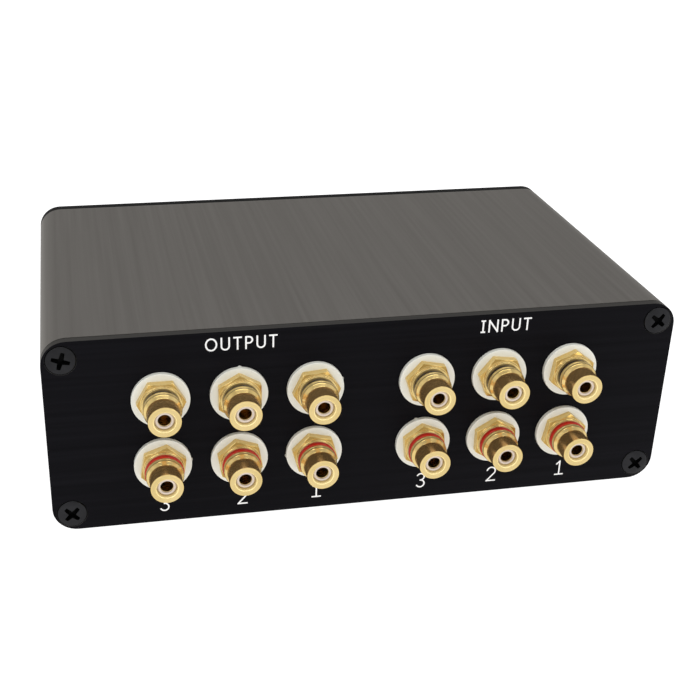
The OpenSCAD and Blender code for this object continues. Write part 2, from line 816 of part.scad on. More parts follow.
module detent_wheel() {
  color(white) translate([0, 0, v_wheel - wheel_t]) linear_extrude(wheel_t) difference() {
    circle(wheel_r);
    flat_section(shaft_r + fit, fit);
    for (k = [0 : round(360 / index_deg) - 1])
      rotate(90 + k * index_deg) translate([nose_out, 0]) circle(notch_r);
  }
}

module rotor() {
  color([0.55, 0.35, 0.18]) translate([0, 0, v_wiper]) linear_extrude(rotor_t) difference() {
    circle(housing_r - rotor_play);
    flat_section(shaft_r + fit, fit);
  }
}

// Two sprung bridges, each from its common contact to one throw
module wipers() {
  bar_w = term_d;
  color(copper) for (a = [90, 270]) rotate(a) {
    translate([common_r - bar_w / 2, -bar_w / 2, v_wiper - wiper_t])
      cube([throw_r - common_r + bar_w, bar_w, wiper_t]);
    for (r = [common_r, throw_r]) translate([r, 0, v_brush])
      cylinder(r = bar_w / 2 - loose, h = v_wiper - wiper_t - v_brush + eps);
  }
}

module switch_outline() {
  circle(switch_r);
  for (s = [-1, 1]) {
    translate([s * ear_x, 0]) circle(ear_r);
    translate([s * ear_x / 2, 0]) square([ear_x, 2 * ear_r], center = true);
  }
}

module tie_places() {
  for (s = [-1, 1]) translate([s * ear_x, 0]) children();
}

module bushing() {
  color(steel) difference() {
    union() {
      translate([0, 0, v_cover]) linear_extrude(cover_t) difference() {
        switch_outline();
        tie_places() circle(tie_d / 2 + fit);
      }
      translate([0, 0, v_panel - eps]) cylinder(r = bush_d / 2, h = v_bush - v_panel + eps);
      translate([0, -peg_out, v_panel - eps]) cylinder(r = peg_r, h = peg_l + eps);
    }
    translate([0, 0, v_cover - past]) cylinder(r = shaft_r + run_fit, h = v_bush - v_cover + 2 * past);
  }
}

module bushing_nut() {
  color(steel) difference() {
    translate([0, 0, lock_t]) cylinder(r = bush_nut_af / 2 / cos(30), h = bush_nut_t, $fn = 6);
    translate([0, 0, lock_t - past]) cylinder(r = bush_d / 2 + fit, h = bush_nut_t + 2 * past);
  }
}

module lock_washer() {
  color(steel) linear_extrude(lock_t) difference() {
    circle(bush_nut_af / 2 + lock_rim);
    circle(bush_d / 2 + loose);
    for (k = [1 : teeth]) rotate((k - 0.5) * 360 / teeth)
      translate([bush_d / 2, 0]) square([tooth_l, tooth_w], center = true);
  }
}

module switch_housing() {
  color([0.12, 0.2, 0.32]) translate([0, 0, v_base]) linear_extrude(housing_l) difference() {
    switch_outline();
    circle(housing_r);
    tie_places() circle(tie_d / 2 + fit);
  }
}

// Flat leaf across the housing with a nose that drops into the wheel's notches
module detent_leaf() {
  top = leaf_in + leaf_t;
  half = sqrt(housing_r * housing_r - top * top) - loose;
  color(steel) translate([0, 0, v_wheel - wheel_t + leaf_edge]) linear_extrude(wheel_t - 2 * leaf_edge) {
    translate([-half, leaf_in]) square([2 * half, leaf_t]);
    translate([0, nose_out]) circle(nose_r);
  }
}

module throw_places() {
  for (c = [0, 1], n = numbers) rotate(throw_a(n, c)) translate([throw_r, 0]) children();
}

module switch_base() {
  color([0.55, 0.35, 0.18]) translate([0, 0, v_back]) linear_extrude(base_t) difference() {
    switch_outline();
    circle(journal_r + run_fit);
    tie_places() circle(tie_d / 2 + fit);
    throw_places() circle(term_d / 2 + fit);
    for (a = [90, 270]) rotate(a) translate([common_r, 0]) circle(term_d / 2 + fit);
  }
}

module terminals() {
  color(copper) {
    throw_places() {
      translate([0, 0, v_term]) cylinder(r = term_d / 2, h = v_base - v_term + eps);
      translate([0, 0, v_base]) cylinder(r = term_d / 2 + term_rim, h = head_t);
    }
    for (a = [90, 270]) rotate(a) {
      translate([common_r, 0, v_term]) cylinder(r = term_d / 2, h = v_base - v_term + eps);
      translate([0, 0, v_base]) rotate(-common_deg / 2) rotate_extrude(angle = common_deg)
        translate([common_r - common_w / 2, 0]) square([common_w, head_t]);
    }
  }
}

module tie_screws() {
  color(steel) tie_places() {
    translate([0, 0, v_back]) cylinder(r = tie_d / 2, h = v_panel - v_back - tie_short);
    translate([0, 0, v_back - tie_head_t]) cylinder(r = ear_r - tie_head_in, h = tie_head_t);
  }
}

module selector_piece(p, i) {
  at_selector(i) {
    if (p == "knob") color(black) knob();
    if (p == "knob_set_screw") knob_set_screw();
    if (p == "shaft") shaft();
    if (p == "detent_wheel") detent_wheel();
    if (p == "rotor") rotor();
    if (p == "wipers") wipers();
    if (p == "bushing") bushing();
    if (p == "bushing_nut") bushing_nut();
    if (p == "lock_washer") lock_washer();
    if (p == "switch_housing") switch_housing();
    if (p == "detent_leaf") detent_leaf();
    if (p == "switch_base") switch_base();
    if (p == "terminals") terminals();
    if (p == "tie_screws") tie_screws();
  }
}

upper_shell();
lower_shell();
front_panel();
rear_panel();
front_panel_screws();
rear_panel_screws();
rubber_feet();
black_marker_rings();
red_marker_rings();
jack_insulators();
jack_contacts();
outer_washers();
inner_washers();
ground_tags();
jack_nuts();
left_signal_wires();
right_signal_wires();
link_wires();
ground_wire();
for (i = [0, 1], n = numbers, c = [0, 1])
  color(gold) out_back(jack_x(i, n), y_rear, jack_z(c)) jack_body(hex_turns[i][n - 1][c]);
for (i = [0, 1], p = SELECTOR_PIECES)
  selector_piece(p, i);
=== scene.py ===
import json
import math

import bmesh
import bpy
import numpy as np
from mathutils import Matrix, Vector
from mathutils.geometry import delaunay_2d_cdt

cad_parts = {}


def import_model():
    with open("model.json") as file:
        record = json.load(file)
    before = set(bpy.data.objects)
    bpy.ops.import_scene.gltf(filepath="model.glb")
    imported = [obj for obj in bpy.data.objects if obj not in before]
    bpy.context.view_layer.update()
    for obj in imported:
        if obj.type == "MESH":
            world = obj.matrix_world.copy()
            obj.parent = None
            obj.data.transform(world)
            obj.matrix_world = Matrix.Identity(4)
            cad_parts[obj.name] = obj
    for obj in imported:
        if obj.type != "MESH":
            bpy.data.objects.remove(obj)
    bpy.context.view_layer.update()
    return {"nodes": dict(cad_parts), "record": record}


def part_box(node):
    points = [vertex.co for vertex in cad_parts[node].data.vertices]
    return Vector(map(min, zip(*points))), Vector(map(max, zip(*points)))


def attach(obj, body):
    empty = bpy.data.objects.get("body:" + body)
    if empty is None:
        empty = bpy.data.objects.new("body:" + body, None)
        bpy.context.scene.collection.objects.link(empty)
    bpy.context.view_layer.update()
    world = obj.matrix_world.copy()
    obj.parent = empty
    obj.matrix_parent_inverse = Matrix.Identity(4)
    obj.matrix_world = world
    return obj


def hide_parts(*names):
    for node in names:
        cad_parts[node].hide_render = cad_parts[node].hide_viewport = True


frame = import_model()
nodes = frame["nodes"]

# All sizes are millimetres, and MM turns them into the frame's metres
MM = 0.001
# Points round a turned piece, and points closer than MERGE_M metres become one
STEPS = 144
MERGE_M = 2e-7


def span(node):
    """Lowest and highest corner of a CAD node, in millimetres."""
    return [np.array(corner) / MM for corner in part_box(node)]


# Places taken from the frame
REAR_LOW, REAR_HIGH = span("rear_panel")
FRONT_LOW, FRONT_HIGH = span("front_panel")
KNOB_LOW, KNOB_HIGH = span("input_knob")
FOOT_LOW, FOOT_HIGH = span("rubber_feet")
REAR_FACE = REAR_HIGH[1]
REAR_T = REAR_HIGH[1] - REAR_LOW[1]
FRONT_FACE = FRONT_LOW[1]
FRONT_T = FRONT_HIGH[1] - FRONT_LOW[1]
CASE_W = REAR_HIGH[0] - REAR_LOW[0]
CASE_H = REAR_HIGH[2] - REAR_LOW[2]
MID_Z = (REAR_LOW[2] + REAR_HIGH[2]) / 2
BASE_Z = REAR_LOW[2]
KNOB_R = (KNOB_HIGH[0] - KNOB_LOW[0]) / 2
KNOB_BACK = FRONT_FACE - KNOB_HIGH[1]
KNOB_TOP = FRONT_FACE - KNOB_LOW[1]
SIDES = ("input", "output")
CHANNELS = ("left", "right")
SELECTOR_X = {side: span(f"{side}_knob")[0][0] + KNOB_R for side in SIDES}

# Case and panels
CORNER_R = 6.5
PANEL_EDGE = 0.12
PANEL_SEAM = 0.4
SCREW_IN = 5.0
SCREW_R = 2.0
HEAD_R = 3.76
HEAD_ROUND = 0.22
HEAD_CONE = 1.8
CROWN = 0.5
SCREW_LOOSE = 0.16
SINK_LIP = 0.1
SCREW_L = 12.0
SCREW_TIP = 0.6
SCREW_PROUD = 0.12
RECESS_W = 4.4
RECESS_ARM = 1.1
RECESS_DEEP = 1.9
ARM_HALF = 0.6
ARM_TAPER = 0.1
FLANK_W = 0.14
END_W = 0.3
REAR_TURNS = (50, 42, -17, 45)
FRONT_TURNS = (12, 71, 33, -24)
FOOT_R = 6.5
FOOT_H = BASE_Z
FOOT_TAPER = 0.5
DISH_R = 3.2
DISH_DEEP = 0.4
BUSHING_HOLE_R = 4.6

# One socket, measured outward from the rear panel's face
STEM_R = 4.0
STEM_BEVEL = 0.4
FLANGE_R = STEM_R - 0.5
WASHER_R = 7.5
WASHER_T = 1.2
WASHER_LOOSE = 0.05
HEX_HALF = 5.5
HEX_FACE_R = HEX_HALF - 0.12
HEX_FOOT = 0.12
HEX_BEVEL = math.radians(25)
BEVEL_REACH = 1.15
NECK_R = 5.2
NECK_FOOT = 0.1
GROOVE_R = 4.2
BLACK_RING_R = 4.8
RED_RING_R = 5.1
COLLAR_R = 4.9
BARREL_R = 4.15
BORE_R = 2.6
PIN_R = 1.6
CONTACT_R = 2.05
LIP_R = 1.7
TAIL_R = 0.9
HOLE_R = 5.0
S_STEM = -REAR_T - 5.5
S_BORE_END = S_STEM + 0.1
S_FLANGE = S_STEM - 1.0
S_TAIL = S_FLANGE - 5.0
S_HEX = WASHER_T
S_NECK = S_HEX + 2.0
S_NECK_LINE = S_NECK + 0.4
S_RING = S_NECK + 1.1
S_COLLAR = S_NECK + 2.5
S_LINE = S_COLLAR + 0.55
S_TAPER = S_COLLAR + 1.4
S_BARREL = S_TAPER + 0.8
S_RIM = S_BARREL + 4.8
S_FACE = S_RIM - 0.9
S_LIP = S_FACE - 0.5
S_PIN_END = S_RIM - 15.0
S_CONTACT = S_PIN_END - 1.0
MOUTH_DEEP = 0.4
MOUTH_ROUND = 0.4
NOSE_BEVEL = 0.4
RING_LOOSE = 0.04
SNUG = 0.02
NIB_L = 0.32
NIB_W = 0.8
LINE_W = 0.26
LINE_DEEP = 0.22
# Turn of each hexagon and of each washer's nib, seen from behind: sockets 1 to 3, left and right
HEX_TURNS = {"input": ((23, 19), (52, 31), (48, 36)), "output": ((5, -14), (30, 40), (0, 20))}
NIB_TURNS = {"input": ((300, 310), (265, 280), (290, 107)), "output": ((16, 186), (88, -10), (300, 4))}

# Knobs
KNOB_FACE = KNOB_TOP - 0.05
KNOB_FACE_R = KNOB_R - 3
KNOB_BEVEL = 0.8
KNOB_FLUTES = 60
FLUTE_DEEP = 0.35
FLUTE_EASE = 0.5
FLUTE_POWER = 1.5
FLUTE_LOW = KNOB_BACK + 1.4
FLUTE_HIGH = KNOB_FACE - 2.2
GRIP_FROM = KNOB_BACK + 0.35
GRIP_TO = KNOB_FACE - KNOB_BEVEL - 0.4
GRIP_ROWS = 54
FACE_LINE_IN = 1.6
FACE_LINE_DEEP = 0.12
KNOB_RECESS_R = 9.0
KNOB_RECESS_END = 4.5
SHAFT_R = 3.0
SHAFT_END = 14.8
GRUB_R = 1.5
GRUB_OUT = 9.5
GRUB_LOOSE = 0.15
GRUB_EDGE = 0.3
GRUB_DEEP = 3.0
POINTER_W = 1.2
POINTER_L = 8.5
POINTER_END = KNOB_BACK + 4
POINTER_DEEP = 0.45

# Printed marks
PRINT_T = 0.03
PRINT_SINK = 0.01
WORD_H = 3.6
WORD_STROKE = 0.42
WORD_GAP = 0.84
WORD_Z = 52.3
OUTPUT_AT = -34.23
INPUT_AT = 35.9
NUMBER_H = 4.65
NUMBER_STROKE = 0.4
NUMBER_Z = 6.17
NUMBER_X = {"output": (13.9, 34.1, 54.85), "input": (-56.1, -35.85, -15.5)}
FRONT_H = 3.2
FRONT_WORD_UP = -23.8
FRONT_NUMBER_OUT = 19.4
TICK_FROM = 14.0
TICK_TO = 16.2
TICK_W = 0.5
LETTER_W = {"O": 3.1, "U": 2.38, "T": 2.17, "P": 2.03, "I": 1.25, "N": 2.7}
FIGURE_W = {"1": 2.6, "2": 2.75, "3": 2.75}
FRONT_FIGURE_W = {"1": 2.0, "2": 2.0, "3": 2.0}

# The span of the noise that the finishes use, and the cycles per metre of their patterns
NOISE_LOW = 0.3
NOISE_HIGH = 0.7
CLOUDS = (60, 60, 60)
SKIN = (260, 260, 260)
TINTS = (140, 140, 140)
LATHE_MARKS = (350, 2600, 350)
KNOB_RINGS = 5200.0
PAPER_GRAIN = (9, 9, 9)
FLOOR_GLOW = 1.02
FLOOR_REACH = 5.0

# The photograph's camera and the point that the lights face, in metres and degrees
CAMERA_AT = (0.073436, 0.31994, 0.182839)
CAMERA_TURN = (64.182, -1.1826, 168.6498)
CAMERA_LENS = 61.0925
CAMERA_SHIFT = 0.059778
LIGHT_AIM = (0, 0.05, 0.03)


def behind(x, z):
    """Places (right, up, out), as seen from behind, about the point x, z of the rear panel's face."""
    def place(right, up, out):
        return np.stack(np.broadcast_arrays(x - right, REAR_FACE + out, z + up), -1)
    return place


def before(x, z):
    """Places (right, up, out), as seen from the front, about the point x, z of the front panel's face."""
    def place(right, up, out):
        return np.stack(np.broadcast_arrays(x + right, FRONT_FACE - out, z + up), -1)
    return place


def beneath(x, y):
    """Places (right, up, out), as seen from below, about the point x, y of the case's underside."""
    def place(right, up, out):
        return np.stack(np.broadcast_arrays(x + right, y - up, BASE_Z - out), -1)
    return place


def quads(rows, columns, close_rows=False):
    """Four-sided faces of a grid of points whose columns close on themselves, each joining a point to the
    next of its row and column."""
    i = np.arange(rows if close_rows else rows - 1)[:, None]
    j = np.arange(columns)[None, :]
    i_next = (i + 1) % rows
    j_next = (j + 1) % columns
    corners = (i * columns + j, i * columns + j_next, i_next * columns + j_next, i_next * columns + j)
    return np.stack(np.broadcast_arrays(*corners), -1).reshape(-1, 4)


def arc(centre, radius, start, end, steps):
    """Points of a circle's arc from one angle to another, in degrees."""
    angle = np.radians(np.linspace(start, end, steps + 1))
    return np.stack([centre[0] + radius * np.cos(angle), centre[1] + radius * np.sin(angle)], -1)


def softened(corners, radii, steps=5):
    """The outline through corners, each replaced by an arc of its radius that meets both sides smoothly.
    The arc's centre lies on the corner's bisector, radius / sin(half angle) away."""
    corners = np.asarray(corners, float)
    out = []
    for k, corner in enumerate(corners):
        if radii[k] == 0:
            out.append(corner[None, :])
            continue
        back = corners[k - 1] - corner
        ahead = corners[(k + 1) % len(corners)] - corner
        back /= np.linalg.norm(back)
        ahead /= np.linalg.norm(ahead)
        half = math.acos(np.clip(back @ ahead, -1, 1)) / 2
        middle = (back + ahead) / np.linalg.norm(back + ahead)
        centre = corner + middle * radii[k] / math.sin(half)
        first = corner + back * radii[k] / math.tan(half) - centre
        last = corner + ahead * radii[k] / math.tan(half) - centre
        start = math.degrees(math.atan2(first[1], first[0]))
        sweep = math.degrees(math.atan2(first[0] * last[1] - first[1] * last[0], first @ last))
        out.append(arc(centre, radii[k], start, start + sweep, steps))
    return np.concatenate(out)


def turned(profile, place, closed=True, steps=STEPS):
    """A profile of (radius, out) carried round its axis: right = radius cos a, up = radius sin a."""
    angle = np.linspace(0, 2 * np.pi, steps, endpoint=False)
    radius = profile[:, :1]
    points = place(radius * np.cos(angle), radius * np.sin(angle), profile[:, 1:] + 0 * angle)
    return points.reshape(-1, 3), [quads(len(profile), steps, close_rows=closed)]


def make(name, surfaces, finishes, body="case", stands_for=(), sharp_deg=38, finish_of=None):
    """Joins surfaces of points and faces into one closed piece, merges its seams and poles, shades it
    smooth but for edges over sharp_deg, and sets it on its body. finish_of gives the finish of each surface,
    as one number or one for each of its faces, else all take the first."""
    points = np.concatenate([s[0] for s in surfaces]) * MM
    firsts = np.cumsum([0] + [len(s[0]) for s in surfaces[:-1]])
    faces = [f + first for (_, groups), first in zip(surfaces, firsts) for f in groups]
    sizes = np.concatenate([np.full(len(f), f.shape[1]) for f in faces])
    starts = np.cumsum(sizes) - sizes
    mesh = bpy.data.meshes.new(name)
    mesh.vertices.add(len(points))
    mesh.vertices.foreach_set("co", points.ravel())
    mesh.loops.add(int(sizes.sum()))
    mesh.loops.foreach_set("vertex_index", np.concatenate([f.ravel() for f in faces]).astype(np.int32))
    mesh.polygons.add(len(sizes))
    mesh.polygons.foreach_set("loop_start", starts.astype(np.int32))
    if finish_of:
        counts = [sum(len(f) for f in s[1]) for s in surfaces]
        chosen = [np.broadcast_to(f, count) for f, count in zip(finish_of, counts)]
        mesh.polygons.foreach_set("material_index", np.concatenate(chosen).astype(np.int32))
    mesh.update(calc_edges=True)
    work = bmesh.new()
    work.from_mesh(mesh)
    bmesh.ops.remove_doubles(work, verts=work.verts, dist=MERGE_M)
    work.to_mesh(mesh)
    work.free()
    mesh.shade_smooth()
    mesh.set_sharp_from_angle(angle=math.radians(sharp_deg))
    for finish in finishes:
        mesh.materials.append(finish)
    piece = bpy.data.objects.new(name, mesh)
    bpy.context.scene.collection.objects.link(piece)
    weighted = piece.modifiers.new("flat faces stay flat", "WEIGHTED_NORMAL")
    weighted.keep_sharp = True
    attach(piece, body)
    if stands_for:
        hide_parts(*stands_for)
    return piece


# Finishes

def new_finish(name):
    """A node material, its tree and its shader."""
    material = bpy.data.materials.new(name)
    material.use_nodes = True
    return material, material.node_tree, material.node_tree.nodes["Principled BSDF"]


def grain(tree, scale, detail=3.0):
    """Noise on the object's own coordinates, stretched by a scale per axis in cycles per metre."""
    place = tree.nodes.new("ShaderNodeTexCoord")
    stretch = tree.nodes.new("ShaderNodeMapping")
    stretch.inputs["Scale"].default_value = scale
    noise = tree.nodes.new("ShaderNodeTexNoise")
    noise.inputs["Scale"].default_value = 1.0
    noise.inputs["Detail"].default_value = detail
    noise.inputs["Roughness"].default_value = 0.6
    tree.links.new(place.outputs["Object"], stretch.inputs["Vector"])
    tree.links.new(stretch.outputs["Vector"], noise.inputs["Vector"])
    return noise.outputs["Fac"]


def rings(tree, x, z, pitch):
    """Noise on the distance from an axis along Y through x, z: fine turning marks, pitch per metre."""
    place = tree.nodes.new("ShaderNodeTexCoord")
    shift = tree.nodes.new("ShaderNodeMapping")
    shift.inputs["Location"].default_value = (-x * MM, 0, -z * MM)
    flat = tree.nodes.new("ShaderNodeVectorMath")
    flat.operation = "MULTIPLY"
    flat.inputs[1].default_value = (1, 0, 1)
    length = tree.nodes.new("ShaderNodeVectorMath")
    length.operation = "LENGTH"
    noise = tree.nodes.new("ShaderNodeTexNoise")
    noise.noise_dimensions = "1D"
    noise.inputs["Scale"].default_value = pitch
    noise.inputs["Detail"].default_value = 2.0
    tree.links.new(place.outputs["Object"], shift.inputs["Vector"])
    tree.links.new(shift.outputs["Vector"], flat.inputs[0])
    tree.links.new(flat.outputs["Vector"], length.inputs[0])
    tree.links.new(length.outputs["Value"], noise.inputs["W"])
    return noise.outputs["Fac"]


def colour_by(tree, shader, source, dark, light):
    """Base colour that runs from dark to light as the noise goes from low to high."""
    ramp = tree.nodes.new("ShaderNodeValToRGB")
    ramp.color_ramp.elements[0].position = NOISE_LOW
    ramp.color_ramp.elements[0].color = (*dark, 1)
    ramp.color_ramp.elements[1].position = NOISE_HIGH
    ramp.color_ramp.elements[1].color = (*light, 1)
    tree.links.new(source, ramp.inputs["Fac"])
    tree.links.new(ramp.outputs["Color"], shader.inputs["Base Color"])


def rough_by(tree, shader, source, smooth, rough):
    """Roughness that runs from smooth to rough as the noise goes from low to high."""
    spread = tree.nodes.new("ShaderNodeMapRange")
    spread.inputs["From Min"].default_value = NOISE_LOW
    spread.inputs["From Max"].default_value = NOISE_HIGH
    spread.inputs["To Min"].default_value = smooth
    spread.inputs["To Max"].default_value = rough
    tree.links.new(source, spread.inputs["Value"])
    tree.links.new(spread.outputs["Result"], shader.inputs["Roughness"])


def bumped_by(tree, shader, source, height, strength):
    """Surface relief of the given height in millimetres from the noise, applied with the given strength."""
    bump = tree.nodes.new("ShaderNodeBump")
    bump.inputs["Distance"].default_value = height * MM
    bump.inputs["Strength"].default_value = strength
    tree.links.new(source, bump.inputs["Height"])
    tree.links.new(bump.outputs["Normal"], shader.inputs["Normal"])


def drawn_out(across, lengthwise, along):
    """Cycles per metre on each axis: few along the brushing and many across it."""
    cycles = [across, across, across]
    cycles["xyz".index(along)] = lengthwise
    return cycles


def brushed(name, dark, light, along, smooth, rough, metal, gloss):
    """Black anodised aluminium: streaks drawn out along one axis in colour, roughness and relief."""
    material, tree, shader = new_finish(name)
    streaks = grain(tree, drawn_out(700.0, 9.0, along), detail=4.0)
    colour_by(tree, shader, streaks, dark, light)
    rough_by(tree, shader, grain(tree, drawn_out(90.0, 5.0, along)), smooth, rough)
    bumped_by(tree, shader, streaks, 0.004, 0.6)
    shader.inputs["Metallic"].default_value = metal
    shader.inputs["Specular IOR Level"].default_value = gloss
    shader.inputs["Specular Tint"].default_value = (0.55, 0.54, 0.52, 1)
    return material


def moulded(name, dark, light, smooth, rough, gloss=0.5, tint=(1.0, 1.0, 1.0), index=1.5):
    """Moulded plastic or rubber: a little cloudiness in the colour and a fine moulded skin. The gloss has
    its own tint, and a higher refractive index makes it stronger."""
    material, tree, shader = new_finish(name)
    colour_by(tree, shader, grain(tree, CLOUDS), dark, light)
    skin = grain(tree, SKIN, detail=4.0)
    rough_by(tree, shader, skin, smooth, rough)
    bumped_by(tree, shader, skin, 0.006, 0.5)
    shader.inputs["Specular IOR Level"].default_value = gloss
    shader.inputs["Specular Tint"].default_value = (*tint, 1)
    shader.inputs["IOR"].default_value = index
    return material


def plated(name, dark, light, smooth, rough, relief=0.0015, metal=1.0):
    """Plated or bare metal: small changes of tint and roughness, and marks left by the lathe. Below 1, metal
    leaves some of the light scattered in the metal's own colour, with no clear gloss over it."""
    material, tree, shader = new_finish(name)
    colour_by(tree, shader, grain(tree, TINTS), dark, light)
    marks = grain(tree, LATHE_MARKS, detail=2.0)
    rough_by(tree, shader, marks, smooth, rough)
    bumped_by(tree, shader, marks, relief, 0.4)
    shader.inputs["Metallic"].default_value = metal
    shader.inputs["Specular IOR Level"].default_value = 0.0
    return material


def turned_black(name, x, z):
    """Black anodised knob: fine rings about its own axis."""
    material, tree, shader = new_finish(name)
    marks = rings(tree, x, z, KNOB_RINGS)
    colour_by(tree, shader, marks, (0.012, 0.012, 0.013), (0.03, 0.03, 0.031))
    rough_by(tree, shader, marks, 0.26, 0.42)
    bumped_by(tree, shader, marks, 0.003, 0.6)
    shader.inputs["Metallic"].default_value = 0.4
    shader.inputs["Specular IOR Level"].default_value = 0.4
    return material


CASE_BLACK = brushed("case_black_brushed", (0.146, 0.138, 0.129), (0.175, 0.166, 0.156), "y",
                     0.41, 0.44, 0.85, 0.5)
PANEL_BLACK = brushed("panel_black_satin", (0.0030, 0.0029, 0.004), (0.0055, 0.0053, 0.007), "x",
                      0.34, 0.44, 0.0, 0.05)
# A lighter, metallic copy of the panel's black for the rear panel's rim and countersink lips: painted light
# along those edges
PANEL_RIM_LIT = brushed("panel_rim_black_painted_light", (0.044, 0.042, 0.041), (0.060, 0.058, 0.056), "x",
                    0.40, 0.5, 0.85, 0.5)
FRONT_RIM = brushed("front_rim_black_satin", (0.004, 0.004, 0.004), (0.008, 0.008, 0.008), "x",
                    0.5, 0.6, 0.0, 0.03)
SCREW_BLACK = plated("screw_black_oxide", (0.017, 0.017, 0.018), (0.027, 0.027, 0.029), 0.28, 0.40, 0.004)
# Near-black and dull, for the faces down in each screw's cross: painted shade in the recess
CROSS_PAINTED_SHADE = moulded("screw_cross_painted_shade", (0.002, 0.002, 0.002), (0.004, 0.004, 0.004), 0.6, 0.8, 0.05)
FOOT_RUBBER = moulded("foot_black_rubber", (0.018, 0.018, 0.018), (0.03, 0.03, 0.03), 0.6, 0.8, 0.3)
# The black rings' gloss is tinted warm: a painted gold reflection
RING_BLACK = moulded("ring_black_gloss_painted_gold_reflection", (0.006, 0.005, 0.004), (0.01, 0.008, 0.007), 0.12, 0.2,
                     tint=(1.0, 0.74, 0.42), index=1.7)
RING_RED = moulded("ring_red_gloss", (0.43, 0.014, 0.005), (0.51, 0.022, 0.008), 0.18, 0.28, 0.28)
NYLON_WHITE = moulded("washer_white_nylon", (0.695, 0.695, 0.63), (0.765, 0.765, 0.705), 0.26, 0.36)
INSULATOR_WHITE = moulded("insulator_cream", (0.60, 0.51, 0.45), (0.68, 0.59, 0.52), 0.30, 0.42)
# GOLD is the sockets' plating. The barrel, rim, neck and bevel finishes are darker, browner copies of it:
# painted shade. The mouth's finish is a lighter, less metallic copy: painted light.
GOLD = plated("socket_gold_plate", (0.71, 0.52, 0.20), (0.79, 0.595, 0.26), 0.14, 0.24, metal=0.72)
BARREL_SHADED_GOLD = plated("barrel_gold_painted_shade", (0.70, 0.42, 0.16), (0.78, 0.49, 0.20), 0.14, 0.24, metal=0.86)
RIM_SHADED_GOLD = plated("rim_gold_painted_shade", (0.585, 0.45, 0.195), (0.655, 0.51, 0.245), 0.16, 0.26, metal=0.86)
NECK_SHADED_GOLD = plated("neck_gold_painted_shade", (0.66, 0.485, 0.185), (0.74, 0.555, 0.235), 0.14, 0.24, metal=0.78)
BEVEL_SHADED_GOLD = plated("bevel_gold_painted_shade", (0.40, 0.25, 0.065), (0.46, 0.30, 0.09), 0.14, 0.24, metal=0.9)
BORE_LIT_GOLD = plated("bore_gold_painted_light", (0.84, 0.69, 0.33), (0.91, 0.77, 0.40), 0.24, 0.34, metal=0.5)
CONTACT_GOLD = plated("contact_gold_plate", (0.62, 0.43, 0.17), (0.72, 0.52, 0.22), 0.18, 0.3)
TINNED = plated("tinned_brass", (0.62, 0.62, 0.61), (0.74, 0.74, 0.73), 0.3, 0.45)
COPPER = plated("bare_copper_wire", (0.62, 0.30, 0.17), (0.74, 0.38, 0.22), 0.25, 0.4)
STEEL = plated("nickel_plated_steel", (0.54, 0.54, 0.55), (0.64, 0.64, 0.65), 0.2, 0.34)
WIRE_WHITE = moulded("wire_white_sleeve", (0.72, 0.72, 0.7), (0.8, 0.8, 0.78), 0.35, 0.5)
WIRE_RED = moulded("wire_red_sleeve", (0.42, 0.02, 0.02), (0.52, 0.03, 0.03), 0.35, 0.5)
WIRE_BLUE = moulded("wire_blue_sleeve", (0.03, 0.07, 0.3), (0.05, 0.1, 0.4), 0.35, 0.5)
SWITCH_WHITE = moulded("detent_white_resin", (0.72, 0.71, 0.66), (0.8, 0.79, 0.74), 0.4, 0.55)
SWITCH_BROWN = moulded("switch_brown_laminate", (0.16, 0.075, 0.03), (0.24, 0.12, 0.05), 0.45, 0.6)
SWITCH_BLUE = moulded("switch_blue_resin", (0.02, 0.04, 0.09), (0.035, 0.06, 0.13), 0.4, 0.55)
PRINT_WHITE = moulded("print_white_ink", (0.80, 0.80, 0.80), (0.88, 0.88, 0.88), 0.5, 0.65, 0.3)
KNOB_BLACK = {side: turned_black(f"{side}_knob_black_turned", SELECTOR_X[side], MID_Z) for side in SIDES}


# Case and panels

def case_outline(inset, steps=10):
    """The case's outline, a rectangle with round corners, drawn in by inset on every side."""
    half_w = CASE_W / 2 - CORNER_R
    half_h = CASE_H / 2 - CORNER_R
    corners = ((half_w, -half_h, -90), (half_w, half_h, 0), (-half_w, half_h, 90), (-half_w, -half_h, 180))
    return np.concatenate([arc((x, y), CORNER_R - inset, a, a + 90, steps) for x, y, a in corners])


def flat_face(outline, holes, place, out, flip=False, steps=STEPS // 2):
    """A flat face inside an outline, triangulated, without the round holes (x, y, radius) in it."""
    angle = np.linspace(0, 2 * np.pi, steps, endpoint=False)
    loops = [outline] + [np.stack([x + r * np.cos(angle), y + r * np.sin(angle)], -1) for x, y, r in holes]
    edges = []
    first = 0
    for loop in loops:
        k = np.arange(len(loop))
        edges += (first + np.stack([k, (k + 1) % len(loop)], -1)).tolist()
        first += len(loop)
    flat, _, triangles, *_ = delaunay_2d_cdt([Vector(p) for p in np.concatenate(loops)], edges, [], 1, 1e-6)
    flat = np.array(flat)
    triangles = np.array(triangles)
    middle = flat[triangles].mean(1)
    keep = np.ones(len(triangles), bool)
    for x, y, r in holes:
        keep &= np.hypot(middle[:, 0] - x, middle[:, 1] - y) > r
    triangles = triangles[keep]
    side_a = flat[triangles[:, 1]] - flat[triangles[:, 0]]
    side_b = flat[triangles[:, 2]] - flat[triangles[:, 0]]
    wrong = (side_a[:, 0] * side_b[:, 1] - side_a[:, 1] * side_b[:, 0] < 0) != flip
    triangles[wrong] = triangles[wrong][:, ::-1]
    return place(flat[:, 0], flat[:, 1], np.full(len(flat), out)), [triangles]


